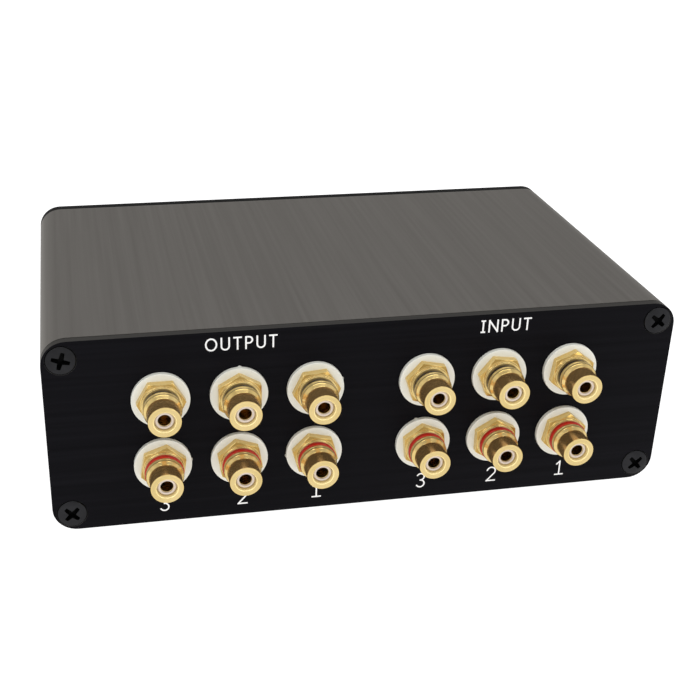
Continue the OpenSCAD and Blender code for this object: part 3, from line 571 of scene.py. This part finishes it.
def plate(thick, place, round_holes):
    """A panel: the outline carried through its thickness with both edges rounded off by quarter arcs, flat
    faces front and back, four countersunk screw holes with a broken edge, and plain round holes
    (x, y, radius). Gives the surfaces and their finishes: 0 for the faces, 1 for the rim and the broken
    edges, which can take a lighter copy of the panel's black than the faces: painted light along the edges."""
    turn = np.radians(np.linspace(0, 90, 6))
    inset = np.concatenate([PANEL_SEAM * (1 - np.sin(turn)), PANEL_EDGE * (1 - np.cos(turn))])
    out = np.concatenate([-thick + PANEL_SEAM * (1 - np.cos(turn)), -PANEL_EDGE * (1 - np.sin(turn))])
    loops = np.stack([case_outline(i) for i in inset])
    wall = place(loops[..., 0], loops[..., 1], out[:, None] + 0 * loops[..., 0])
    rim = wall[:len(turn) + 1]
    lip = wall[len(turn):]
    surfaces = [(w.reshape(-1, 3), [quads(len(w), loops.shape[1])]) for w in (rim, lip)]
    in_x = CASE_W / 2 - SCREW_IN
    in_y = CASE_H / 2 - SCREW_IN
    screws = [(sx * in_x, sy * in_y) for sx in (-1, 1) for sy in (-1, 1)]
    wide = HEAD_R + SCREW_LOOSE
    narrow = SCREW_R + SCREW_LOOSE
    front = round_holes + [(x, y, wide + SINK_LIP) for x, y in screws]
    back = round_holes + [(x, y, narrow) for x, y in screws]
    surfaces.append(flat_face(case_outline(PANEL_EDGE), front, place, 0.0))
    surfaces.append(flat_face(case_outline(PANEL_SEAM), back, place, -thick, flip=True))
    for x, y, r in round_holes:
        hole = np.array([(r, 0.0), (r, -thick)])
        surfaces.append(turned(hole, lambda a, b, c: place(a + x, b + y, c), False, STEPS // 2))
    for x, y in screws:
        sink = np.array([(wide + SINK_LIP, 0.0), (wide, -SINK_LIP), (narrow, -HEAD_CONE), (narrow, -thick)])
        surfaces.append(turned(sink, lambda a, b, c: place(a + x, b + y, c), False, STEPS // 2))
    # Each countersink's lip takes finish 1, the lighter finish that is painted light along the broken edge
    sunk = np.repeat([1, 0, 0], STEPS // 2)
    return surfaces, [1] + [0] * (3 + len(round_holes)) + [sunk] * len(screws)


def panel_screw(place, turn):
    """A raised countersunk screw. The crown is a cap of a sphere, crown * (1 - (r / R)^2), whose rim falls
    away in a quarter arc, less a cross with steep flanks and ends. Below the crown a cone runs to the shank.
    Gives the surfaces and their finishes: 1 for the faces down in the cross, which are painted shade, 0 for
    the others."""
    angle = np.linspace(0, 2 * np.pi, 2 * STEPS, endpoint=False)
    over_cross = np.linspace(0, 0.64, 60) * HEAD_R
    past_cross = np.linspace(0.67, 0.9, 6) * HEAD_R
    rim = HEAD_R - HEAD_ROUND * (1 - np.sin(np.radians(np.linspace(0, 90, 7))))
    radius = np.concatenate([over_cross, past_cross, rim])[:, None]
    right = radius * np.cos(angle)
    up = radius * np.sin(angle)
    lean = math.radians(turn)
    along = right * math.cos(lean) + up * math.sin(lean)
    across = up * math.cos(lean) - right * math.sin(lean)

    def arm(u, v):
        half = RECESS_ARM * (ARM_HALF - ARM_TAPER * np.abs(u))
        flank = np.clip((half - np.abs(v)) / FLANK_W + 0.5, 0, 1)
        end = np.clip((RECESS_W / 2 - np.abs(u)) / END_W + 0.5, 0, 1)
        return flank * flank * (3 - 2 * flank) * end

    cross = np.maximum(arm(along, across), arm(across, along))
    sunk = np.clip((radius - HEAD_R + HEAD_ROUND) / HEAD_ROUND, 0, 1)
    fall = HEAD_ROUND * (1 - np.sqrt(1 - sunk ** 2))
    crown = CROWN * (1 - (radius / HEAD_R) ** 2) - fall - RECESS_DEEP * cross
    top = place(right, up, crown + SCREW_PROUD)
    below = np.array([(HEAD_R, SCREW_PROUD - HEAD_ROUND), (SCREW_R, -HEAD_CONE),
                      (SCREW_R, -SCREW_L + SCREW_TIP), (SCREW_R - SCREW_TIP, -SCREW_L), (0, -SCREW_L)])
    shank = place(below[:, :1] * np.cos(angle), below[:, :1] * np.sin(angle), below[:, 1:] + 0 * angle)
    # A face is in the cross where its four corners together are more than 1.2 deep, of 4, and then takes the
    # painted shade
    sides = cross[:-1] + cross[1:]
    in_cross = (sides + np.roll(sides, -1, 1)).ravel() > 1.2
    surfaces = [(top.reshape(-1, 3), [quads(len(radius), len(angle))[:, ::-1]]),
                (shank.reshape(-1, 3), [quads(len(below), len(angle))[:, ::-1]])]
    return surfaces, [in_cross, 0]


def corner_screws(side, turns, name, node):
    """The four screws of one panel and their turns: right upper, right lower, left upper, left lower."""
    surfaces = []
    chosen = []
    for k, turn in enumerate(turns):
        x = (1 if k < 2 else -1) * (CASE_W / 2 - SCREW_IN)
        y = (1 if k % 2 == 0 else -1) * (CASE_H / 2 - SCREW_IN)
        middle = side(0, MID_Z)
        screw, finish = panel_screw(lambda a, b, c: middle(a + x, b + y, c), turn)
        surfaces += screw
        chosen += finish
    return make(name, surfaces, [SCREW_BLACK, CROSS_PAINTED_SHADE], stands_for=[node],
                sharp_deg=50, finish_of=chosen)


def rubber_feet():
    """Four feet, each a profile turned about its axis: a slight taper, a round lower edge and a dish."""
    profile = softened(
        [(0, 0), (FOOT_R, 0), (FOOT_R - FOOT_TAPER, FOOT_H), (DISH_R + DISH_DEEP, FOOT_H),
         (DISH_R, FOOT_H - DISH_DEEP), (0, FOOT_H - DISH_DEEP)],
        [0, 0.2, 0.7, 0.3, 0.2, 0])
    reach_x = FOOT_HIGH[0] - FOOT_R
    ys = (FOOT_LOW[1] + FOOT_R, FOOT_HIGH[1] - FOOT_R)
    surfaces = [turned(profile, beneath(sx * reach_x, y), False) for sx in (-1, 1) for y in ys]
    return make("rubber_foot_pads", surfaces, [FOOT_RUBBER], stands_for=["rubber_feet"])


# Sockets

def sockets():
    """Each socket's side, number, channel and middle, from its own CAD node."""
    for side in SIDES:
        for number in (1, 2, 3):
            for channel in CHANNELS:
                low, high = span(f"{side}_{number}_{channel}_jack_body")
                middle = (low + high) / 2
                yield side, number, channel, middle[0], middle[2]


def hexagon(angle, turn):
    """Radius of a hexagon with slightly rounded corners: half its width over a high-power mean of the
    cosines to its three pairs of flats."""
    lean = np.radians(turn + 30 + np.array([0, 60, 120]))[:, None]
    power = 90.0
    return HEX_HALF / (np.abs(np.cos(angle - lean)) ** power).sum(0) ** (1 / power)


def line_cut(radius, out):
    """Corners of a narrow V-shaped line cut round a cylinder."""
    return [(radius, out), (radius - LINE_DEEP, out + LINE_W / 2), (radius, out + LINE_W)]


def socket_metal(place, turn):
    """The socket's turned metal: rows of a radius and a distance out, and on the hexagon's rows the lesser
    of that radius and the hexagon's own. The bevel cone's radius grows from the hexagon's face down to its
    flats. Gives the surface and its faces' finishes: 1 along the plain barrel, 2 on the rim's flat face,
    3 on the bevel, 4 inside the mouth, 5 on the neck and the taper, and 0 elsewhere. Finishes 1, 2, 3 and 5
    are darker copies of the gold, painted shade, and 4 is a lighter copy, painted light in the mouth."""
    angle = np.radians(turn) + np.linspace(0, 2 * np.pi, STEPS, endpoint=False)
    back = np.array([(BORE_R, S_STEM), (STEM_R - STEM_BEVEL, S_STEM), (STEM_R, S_STEM + STEM_BEVEL),
                     (STEM_R, S_HEX)])
    cone = np.linspace(0, BEVEL_REACH, 16)[::-1]
    hexed = np.concatenate([
        np.array([(2 * HEX_HALF, S_HEX), (2 * HEX_HALF, S_HEX + HEX_FOOT)]),
        np.stack([HEX_FACE_R + cone, S_NECK - cone * math.tan(HEX_BEVEL)], -1)])
    front = softened(
        [(NECK_R + NECK_FOOT, S_NECK), (NECK_R, S_NECK + NECK_FOOT), *line_cut(NECK_R, S_NECK_LINE),
         (NECK_R, S_RING), (GROOVE_R, S_RING), (GROOVE_R, S_COLLAR), (COLLAR_R, S_COLLAR),
         *line_cut(COLLAR_R, S_LINE), (COLLAR_R, S_TAPER), (BARREL_R, S_BARREL), (BARREL_R, S_RIM),
         (BORE_R, S_RIM), (BORE_R, S_FACE - MOUTH_DEEP), (BORE_R, S_BORE_END)],
        [0, 0, 0.1, 0, 0.06, 0.16, 0.1, 0.1, 0.16, 0.35, 0, 0.06, 0.6, 0.3, 0.16, MOUTH_ROUND, 0, 0])
    rows = np.concatenate([back, hexed, front])
    is_hex = np.zeros(len(rows), bool)
    is_hex[len(back):len(back) + len(hexed)] = True
    limit = np.where(is_hex[:, None], hexagon(angle, turn), np.inf)
    radius = np.minimum(rows[:, :1], limit)
    points = place(radius * np.cos(angle), radius * np.sin(angle), rows[:, 1:] + 0 * angle)
    across, out = rows.T
    on_barrel = np.abs(across - BARREL_R) < SNUG
    on_rim = np.abs(out - S_RIM) < 1e-6
    on_neck = (across > NECK_R - LINE_DEEP - 0.01) & (out > S_NECK - 1e-6) & (out < S_COLLAR)
    on_taper = (across > BARREL_R + SNUG) & (out > S_TAPER - 0.1)
    in_mouth = (across < BORE_R + MOUTH_ROUND - 0.01) & (out > S_FACE - MOUTH_DEEP - 0.1)
    on_bevel = is_hex[:, None] & (rows[:, :1] < limit)
    on_bevel &= np.roll(on_bevel, -1, 1)
    # A face has a finish where the rows at both its ends do: darker copies of the gold on the barrel, rim,
    # neck, taper and bevel are painted shade, and the lighter one in the mouth is painted light
    chosen = np.zeros(len(rows), int)
    for finish, marked in ((1, on_barrel), (2, on_rim), (4, in_mouth), (5, on_neck), (5, on_taper)):
        chosen += finish * (marked & np.roll(marked, -1))
    chosen = chosen[:, None] + 3 * (on_bevel & np.roll(on_bevel, -1, 0))
    return [(points.reshape(-1, 3), [quads(len(rows), STEPS, close_rows=True)])], [chosen.ravel()]


def marker_ring(place, outer):
    """A plastic ring in the groove: a rectangle with a well rounded outer side, turned about the axis."""
    low = S_RING + RING_LOOSE
    high = S_COLLAR - RING_LOOSE
    inner = GROOVE_R + SNUG
    corners = [(inner, low), (outer, low), (outer, high), (inner, high)]
    return turned(softened(corners, [0.1, 0.3, 0.3, 0.1], 9), place)


def insulator(place):
    """The insulator's tube: its bevelled nose set back in the rim, a lip over the contact, and a flange
    behind the stem."""
    tail = TAIL_R + SNUG
    inner = CONTACT_R + SNUG
    outer = BORE_R - SNUG
    corners = [(tail, S_FLANGE), (FLANGE_R, S_FLANGE), (FLANGE_R, S_STEM), (outer, S_STEM),
               (outer, S_FACE - NOSE_BEVEL), (outer - NOSE_BEVEL, S_FACE), (LIP_R, S_FACE), (LIP_R, S_LIP),
               (inner, S_LIP), (inner, S_CONTACT), (tail, S_CONTACT)]
    return turned(softened(corners, [0, 0, 0, 0, 0.2, 0.2, 0.12, 0, 0, 0, 0]), place, steps=STEPS // 2)


def contact(place):
    """The centre contact: a tube with a rounded mouth, a closed end and a solder tail."""
    corners = [(0, S_TAIL), (TAIL_R, S_TAIL), (TAIL_R, S_CONTACT), (CONTACT_R, S_CONTACT),
               (CONTACT_R, S_LIP), (PIN_R, S_LIP), (PIN_R, S_PIN_END), (0, S_PIN_END)]
    return turned(softened(corners, [0, 0.2, 0, 0.2, 0.05, 0.15, 0, 0]), place, False, STEPS // 2)


def washer(place, nib):
    """A washer with soft edges. Its outer radius swells at one angle into the nib left by moulding, on the
    half of its thickness that lies on the panel: radius + nib * exp(-(distance along the edge / half the
    width)^4)."""
    angle = np.linspace(0, 2 * np.pi, STEPS, endpoint=False)
    inner = STEM_R + WASHER_LOOSE
    corners = [(inner, 0), (WASHER_R, 0), (WASHER_R, WASHER_T), (inner, WASHER_T)]
    rows = softened(corners, [0, 0.08, 0.15, 0.1])
    away = (angle - math.radians(nib) + np.pi) % (2 * np.pi) - np.pi
    swell = NIB_L * np.exp(-(away * WASHER_R / (NIB_W / 2)) ** 4)
    low_outer = (rows[:, 0] > WASHER_R - 0.2) & (rows[:, 1] < WASHER_T / 2)
    radius = rows[:, :1] + low_outer[:, None] * swell
    points = place(radius * np.cos(angle), radius * np.sin(angle), rows[:, 1:] + 0 * angle)
    return points.reshape(-1, 3), [quads(len(rows), STEPS, close_rows=True)]


def fit_sockets():
    """The twelve sockets: metal as a piece each, then rings, insulators, contacts and washers in groups."""
    groups = {"black": [], "red": [], "insulators": [], "contacts": [], "washers": []}
    golds = [GOLD, BARREL_SHADED_GOLD, RIM_SHADED_GOLD, BEVEL_SHADED_GOLD, BORE_LIT_GOLD, NECK_SHADED_GOLD]
    for side, number, channel, x, z in sockets():
        place = behind(x, z)
        c = CHANNELS.index(channel)
        node = f"{side}_{number}_{channel}_jack_body"
        metal, finish = socket_metal(place, HEX_TURNS[side][number - 1][c])
        make(f"{side}_{number}_{channel}_socket", metal, golds, stands_for=[node],
             finish_of=finish)
        if channel == "left":
            groups["black"].append(marker_ring(place, BLACK_RING_R))
        else:
            groups["red"].append(marker_ring(place, RED_RING_R))
        groups["insulators"].append(insulator(place))
        groups["contacts"].append(contact(place))
        groups["washers"].append(washer(place, NIB_TURNS[side][number - 1][c]))
    make("black_rings", groups["black"], [RING_BLACK],
         stands_for=["black_marker_rings"])
    make("red_rings", groups["red"], [RING_RED],
         stands_for=["red_marker_rings"])
    make("socket_insulators", groups["insulators"], [INSULATOR_WHITE],
         stands_for=["jack_insulators"])
    make("socket_contacts", groups["contacts"], [CONTACT_GOLD],
         stands_for=["jack_contacts"])
    make("white_washers", groups["washers"], [NYLON_WHITE],
         stands_for=["outer_washers"])


# Knobs

def knob(side):
    """A fluted knob: rows of a radius and a distance out. Along the grip the radius dips by a rounded cosine
    once per flute, and around the set screw it drops away into a round hole."""
    place = before(SELECTOR_X[side], MID_Z)
    columns = KNOB_FLUTES * 8
    angle = np.linspace(0, 2 * np.pi, columns, endpoint=False)
    hole_r = SHAFT_R + SNUG
    underside = softened([(hole_r, KNOB_RECESS_END), (KNOB_RECESS_R, KNOB_RECESS_END),
                          (KNOB_RECESS_R, KNOB_BACK), (KNOB_R, KNOB_BACK)], [0, 0.3, 0.2, 0.3])[:-1]
    grip_out = np.linspace(GRIP_FROM, GRIP_TO, GRIP_ROWS)
    shoulder = softened([(KNOB_R, KNOB_TOP / 2), (KNOB_R, KNOB_FACE), (KNOB_FACE_R, KNOB_FACE)],
                        [0, KNOB_BEVEL, 0], 8)[1:-1]
    line_r = KNOB_R - FACE_LINE_IN - np.array([0, 0.2, 0.5, 0.7])
    line_out = KNOB_FACE - FACE_LINE_DEEP * np.array([0, 1, 1, 0])
    rows = np.concatenate([
        underside,
        np.stack([np.full(GRIP_ROWS, KNOB_R), grip_out], -1),
        shoulder,
        np.stack([line_r, line_out], -1),
        np.stack([np.linspace(KNOB_FACE_R, 0, 8), np.full(8, KNOB_FACE)], -1)])
    radius, out = rows[:, :1], rows[:, 1:]
    on_grip = np.abs(radius - KNOB_R) < 1e-6
    ease = np.clip(np.minimum(out - FLUTE_LOW, FLUTE_HIGH - out) / FLUTE_EASE, 0, 1) * on_grip
    dip = FLUTE_DEEP * (0.5 - 0.5 * np.cos(KNOB_FLUTES * angle)) ** FLUTE_POWER
    around = (angle - 1.5 * np.pi) * KNOB_R
    inside = GRUB_R + GRUB_LOOSE - np.hypot(around, out - GRUB_OUT)
    hole = np.clip(inside / GRUB_EDGE, 0, 1) * (radius > KNOB_R - 1e-6)
    radius = radius - ease * dip * (1 - hole) - GRUB_DEEP * hole
    points = place(radius * np.cos(angle), radius * np.sin(angle), out + 0 * angle)
    bore = np.array([(hole_r, KNOB_RECESS_END), (hole_r, SHAFT_END), (0, SHAFT_END)])
    shaft_hole = turned(bore, place, False, columns)
    shaft_hole = (shaft_hole[0], [shaft_hole[1][0][:, ::-1]])
    surfaces = [(points.reshape(-1, 3), [quads(len(rows), columns)]), shaft_hole]
    return make(f"{side}_fluted_knob", surfaces, [KNOB_BLACK[side]], body=f"{side}_selector",
                stands_for=[f"{side}_knob"], sharp_deg=32)


def pointer(side):
    """The white line let into a knob: a thin strip carried along the face, round the bevel and down."""
    place = before(SELECTOR_X[side], MID_Z)
    path = softened([(KNOB_R - POINTER_L, KNOB_FACE), (KNOB_R, KNOB_FACE), (KNOB_R, POINTER_END)],
                    [0, KNOB_BEVEL, 0], 8)
    run = np.gradient(path, axis=0)
    run /= np.linalg.norm(run, axis=1)[:, None]
    normal = np.stack([-run[:, 1], run[:, 0]], -1)
    low = path - POINTER_DEEP * normal
    high = path + PRINT_T * normal
    half = POINTER_W / 2
    right = np.array([-half, half, half, -half])
    up = np.stack([high[:, 0], high[:, 0], low[:, 0], low[:, 0]], -1)
    out = np.stack([high[:, 1], high[:, 1], low[:, 1], low[:, 1]], -1)
    points = place(right + 0 * up, up, out).reshape(-1, 3)
    ends = np.array([[3, 2, 1, 0], np.arange(4) + 4 * (len(path) - 1)])
    return make(f"{side}_pointer_line", [(points, [quads(len(path), 4), ends])], [PRINT_WHITE],
                body=f"{side}_selector")


# Printed words and numbers

def letter(sign, w, h):
    """Centre lines of one letter or figure, w wide and h high, as paths with its foot at zero."""
    if sign == "O":
        turn = np.linspace(0, 2 * np.pi, 49)
        return [np.stack([w / 2 + w / 2 * np.sin(turn), h / 2 + h / 2 * np.cos(turn)], -1)]
    if sign == "U":
        return [np.concatenate([[(0, h)], arc((w / 2, w / 2), w / 2, 180, 360, 16), [(w, h)]])]
    if sign == "T":
        return [np.array([(0, h), (w, h)]), np.array([(w / 2, h), (w / 2, 0)])]
    if sign == "P":
        r = 0.27 * h
        return [np.array([(0, 0), (0, h)]),
                np.concatenate([[(0, h)], arc((w - r, h - r), r, 90, -90, 14), [(0, h - 2 * r)]])]
    if sign == "I":
        return [np.array([(w / 2, 0), (w / 2, h)]), np.array([(0, 0), (w, 0)]), np.array([(0, h), (w, h)])]
    if sign == "N":
        return [np.array([(0, 0), (0, h)]), np.array([(0, h), (w, 0)]), np.array([(w, 0), (w, h)])]
    if sign == "1":
        return [np.array([(w / 2, 0), (w / 2, h)]), np.array([(w / 2, h), (0.1 * w, 0.8 * h)]),
                np.array([(0, 0), (w, 0)])]
    if sign == "2":
        r = w / 2
        bow = arc((r, h - r), r, 165, -35, 18)
        return [np.concatenate([bow, [(0, 0)]]), np.array([(0, 0), (w, 0)])]
    # The figure 3: two bows that meet near its middle
    middle = 0.46 * w
    upper = 0.24 * h
    lower = 0.26 * h
    return [arc((middle, h - upper), upper, 150, -90, 16), arc((middle, lower), lower, 90, -150, 18)]


def stroke(path, wide):
    """A flat stroke of four-cornered cells: a path with half the width to both sides, and square ends."""
    run = np.gradient(path, axis=0)
    run /= np.linalg.norm(run, axis=1)[:, None]
    if np.allclose(path[0], path[-1]):
        run[0] = run[-1] = (run[0] + run[-1]) / np.linalg.norm(run[0] + run[-1])
    else:
        path = np.concatenate([[path[0] - run[0] * wide / 2], path[1:-1], [path[-1] + run[-1] * wide / 2]])
    aside = np.stack([-run[:, 1], run[:, 0]], -1) * wide / 2
    left, right = path + aside, path - aside
    return np.stack([left[:-1], right[:-1], right[1:], left[1:]], 1)


def word(text, gap, h, wide, x, y, widths):
    """A line of letters with their feet at y and their middle at x."""
    total = sum(widths[c] for c in text) + gap * (len(text) - 1)
    at = x - total / 2
    cells = []
    for sign in text:
        for path in letter(sign, widths[sign] - wide, h - wide):
            cells.append(stroke(path + np.array([at + wide / 2, y + wide / 2]), wide))
        at += widths[sign] + gap
    return cells


def ink(cells, place):
    """Flat ink: cells that may overlap are joined into one shape by triangulating them all together and
    keeping the triangles that lie in a cell. The shape is given a thickness, and a wall along its border,
    which is made of the edges that only one triangle has."""
    corners = np.concatenate(cells).reshape(-1, 2)
    faces = np.arange(len(corners)).reshape(-1, 4).tolist()
    flat, _, triangles, _, _, inside = delaunay_2d_cdt([Vector(p) for p in corners], [], faces, 0, 1e-5)
    flat = np.array(flat)
    triangles = np.array([t for t, owner in zip(triangles, inside) if owner])
    side_a = flat[triangles[:, 1]] - flat[triangles[:, 0]]
    side_b = flat[triangles[:, 2]] - flat[triangles[:, 0]]
    wrong = side_a[:, 0] * side_b[:, 1] - side_a[:, 1] * side_b[:, 0] < 0
    triangles[wrong] = triangles[wrong][:, ::-1]
    count = len(flat)
    edges = np.concatenate([triangles[:, [0, 1]], triangles[:, [1, 2]], triangles[:, [2, 0]]])
    border = edges[~np.isin(edges[:, 0] * count + edges[:, 1], edges[:, 1] * count + edges[:, 0])]
    wall = np.stack([border[:, 1], border[:, 0], border[:, 0] + count, border[:, 1] + count], -1)
    faces_out = (PRINT_T, -PRINT_SINK)
    points = np.concatenate([place(flat[:, 0], flat[:, 1], np.full(count, out)) for out in faces_out])
    return points, [triangles, triangles[:, ::-1] + count, wall]


def rear_print():
    """Words above the sockets and a number below each pair, on the rear panel."""
    cells = word("OUTPUT", WORD_GAP, WORD_H, WORD_STROKE, OUTPUT_AT, WORD_Z, LETTER_W)
    cells += word("INPUT", WORD_GAP, WORD_H, WORD_STROKE, INPUT_AT, WORD_Z, LETTER_W)
    for side in SIDES:
        for number, x in enumerate(NUMBER_X[side], 1):
            cells += word(str(number), 0, NUMBER_H, NUMBER_STROKE, -x, NUMBER_Z, FIGURE_W)
    return make("rear_panel_print", [ink(cells, behind(0, 0))], [PRINT_WHITE])


def front_print():
    """A word under each knob, and a tick and a number at each of its three places, on the front panel."""
    surfaces = []
    for side in SIDES:
        cells = word(side.upper(), WORD_GAP, FRONT_H, WORD_STROKE, 0, FRONT_WORD_UP, LETTER_W)
        for number, lean in ((1, -30), (2, 0), (3, 30)):
            toward = np.array([math.sin(math.radians(lean)), math.cos(math.radians(lean))])
            cells.append(stroke(np.array([TICK_FROM * toward, TICK_TO * toward]), TICK_W))
            x, y = FRONT_NUMBER_OUT * toward
            cells += word(str(number), 0, FRONT_H, NUMBER_STROKE, x, y - FRONT_H / 2, FRONT_FIGURE_W)
        surfaces.append(ink(cells, before(SELECTOR_X[side], MID_Z)))
    return make("front_panel_print", surfaces, [PRINT_WHITE])


# Building

def dress_frame():
    """Finishes of the CAD nodes that stay."""
    by_slot = {
        "case_black": CASE_BLACK, "panel_black": PANEL_BLACK, "screw_black": SCREW_BLACK,
        "foot_rubber": FOOT_RUBBER, "ring_black": RING_BLACK, "ring_red": RING_RED,
        "insulator_white": INSULATOR_WHITE, "contact_gold": CONTACT_GOLD, "nylon_white": NYLON_WHITE,
        "jack_gold": GOLD, "tinned_metal": TINNED, "bare_copper": COPPER, "wire_white": WIRE_WHITE,
        "wire_red": WIRE_RED, "wire_blue": WIRE_BLUE, "plain_steel": STEEL, "switch_white": SWITCH_WHITE,
        "switch_brown": SWITCH_BROWN, "switch_blue": SWITCH_BLUE, "knob_black": KNOB_BLACK["input"],
    }
    for part in frame["record"]["subparts"]:
        mesh = nodes[part["node"]].data
        mesh.materials.clear()
        mesh.materials.append(by_slot[part["material_slot"]])


dress_frame()
rear_holes = [(-x, z - MID_Z, HOLE_R) for _, _, _, x, z in sockets()]
front_holes = [(SELECTOR_X[side], 0.0, BUSHING_HOLE_R) for side in SIDES]
rear_plate, rear_finish = plate(REAR_T, behind(0, MID_Z), rear_holes)
front_plate, front_finish = plate(FRONT_T, before(0, MID_Z), front_holes)
# The rear panel's rim and countersink lips take the lighter copy of its black: painted light
make("rear_panel_plate", rear_plate, [PANEL_BLACK, PANEL_RIM_LIT],
     stands_for=["rear_panel"], finish_of=rear_finish)
make("front_panel_plate", front_plate, [PANEL_BLACK, FRONT_RIM],
     stands_for=["front_panel"], finish_of=front_finish)
corner_screws(behind, REAR_TURNS, "rear_corner_screws", "rear_panel_screws")
corner_screws(before, FRONT_TURNS, "front_corner_screws", "front_panel_screws")
rubber_feet()
fit_sockets()
for side in SIDES:
    knob(side)
    pointer(side)
rear_print()
front_print()


# Studio

def floor():
    """A wide pale floor with a trace of paper grain."""
    material, tree, shader = new_finish("studio_paper")
    colour_by(tree, shader, grain(tree, PAPER_GRAIN), (0.24, 0.24, 0.24), (0.26, 0.26, 0.26))
    shader.inputs["Emission Color"].default_value = (1, 1, 1, 1)
    shader.inputs["Emission Strength"].default_value = FLOOR_GLOW
    shader.inputs["Roughness"].default_value = 0.9
    shader.inputs["Specular IOR Level"].default_value = 0.1
    r = FLOOR_REACH
    mesh = bpy.data.meshes.new("studio_floor")
    mesh.from_pydata([(-r, -r, 0), (r, -r, 0), (r, r, 0), (-r, r, 0)], [], [(0, 1, 2, 3)])
    mesh.materials.append(material)
    sheet = bpy.data.objects.new("studio_floor", mesh)
    bpy.context.scene.collection.objects.link(sheet)


def softbox(name, at, aim, wide, deep, power):
    """A soft light, wide by deep, at one point and turned towards another."""
    light = bpy.data.lights.new(name, "AREA")
    light.shape = "RECTANGLE"
    light.size = wide
    light.size_y = deep
    light.energy = power
    lamp = bpy.data.objects.new(name, light)
    lamp.location = at
    lamp.rotation_euler = (Vector(aim) - Vector(at)).to_track_quat("-Z", "Y").to_euler()
    bpy.context.scene.collection.objects.link(lamp)


def surroundings():
    """White all round near the floor, a dimmer band above it, white again higher up and dim at the top. Each
    stop gives the height of the view's direction and the light there."""
    world = bpy.data.worlds.new("studio_white")
    world.use_nodes = True
    tree = world.node_tree
    way = tree.nodes.new("ShaderNodeTexCoord")
    rise = tree.nodes.new("ShaderNodeSeparateXYZ")
    sky = tree.nodes.new("ShaderNodeValToRGB")
    for height, light in ((0.1, 1.05), (0.2, 0.7), (0.45, 0.95), (0.75, 0.6)):
        stop = sky.color_ramp.elements.new(height)
        stop.color = (light, light, light, 1)
    sky.color_ramp.elements.remove(sky.color_ramp.elements[0])
    sky.color_ramp.elements[-1].color = (0.35, 0.35, 0.35, 1)
    back = tree.nodes["Background"]
    tree.links.new(way.outputs["Generated"], rise.inputs["Vector"])
    tree.links.new(rise.outputs["Z"], sky.inputs["Fac"])
    tree.links.new(sky.outputs["Color"], back.inputs["Color"])
    return world


def studio():
    """White surroundings, soft lights overhead and beside the camera, and the photograph's camera."""
    scene = bpy.context.scene
    scene.world = surroundings()
    scene.view_settings.view_transform = "Standard"
    floor()
    softbox("overhead_light", (0, 0.22, 1.2), LIGHT_AIM, wide=1.3, deep=0.33, power=5.0)
    for name, x in (("right_light", -0.6), ("left_light", 0.5)):
        softbox(name, (x, 0.78, 0.45), LIGHT_AIM, wide=0.35, deep=0.35, power=1.0)
    lens = bpy.data.cameras.new("photo_camera")
    lens.sensor_width = 36.0
    lens.lens = CAMERA_LENS
    lens.shift_x = CAMERA_SHIFT
    lens.clip_start = 0.01
    camera = bpy.data.objects.new("photo_camera", lens)
    camera.location = CAMERA_AT
    camera.rotation_euler = [math.radians(a) for a in CAMERA_TURN]
    scene.collection.objects.link(camera)
    scene.camera = camera


studio()
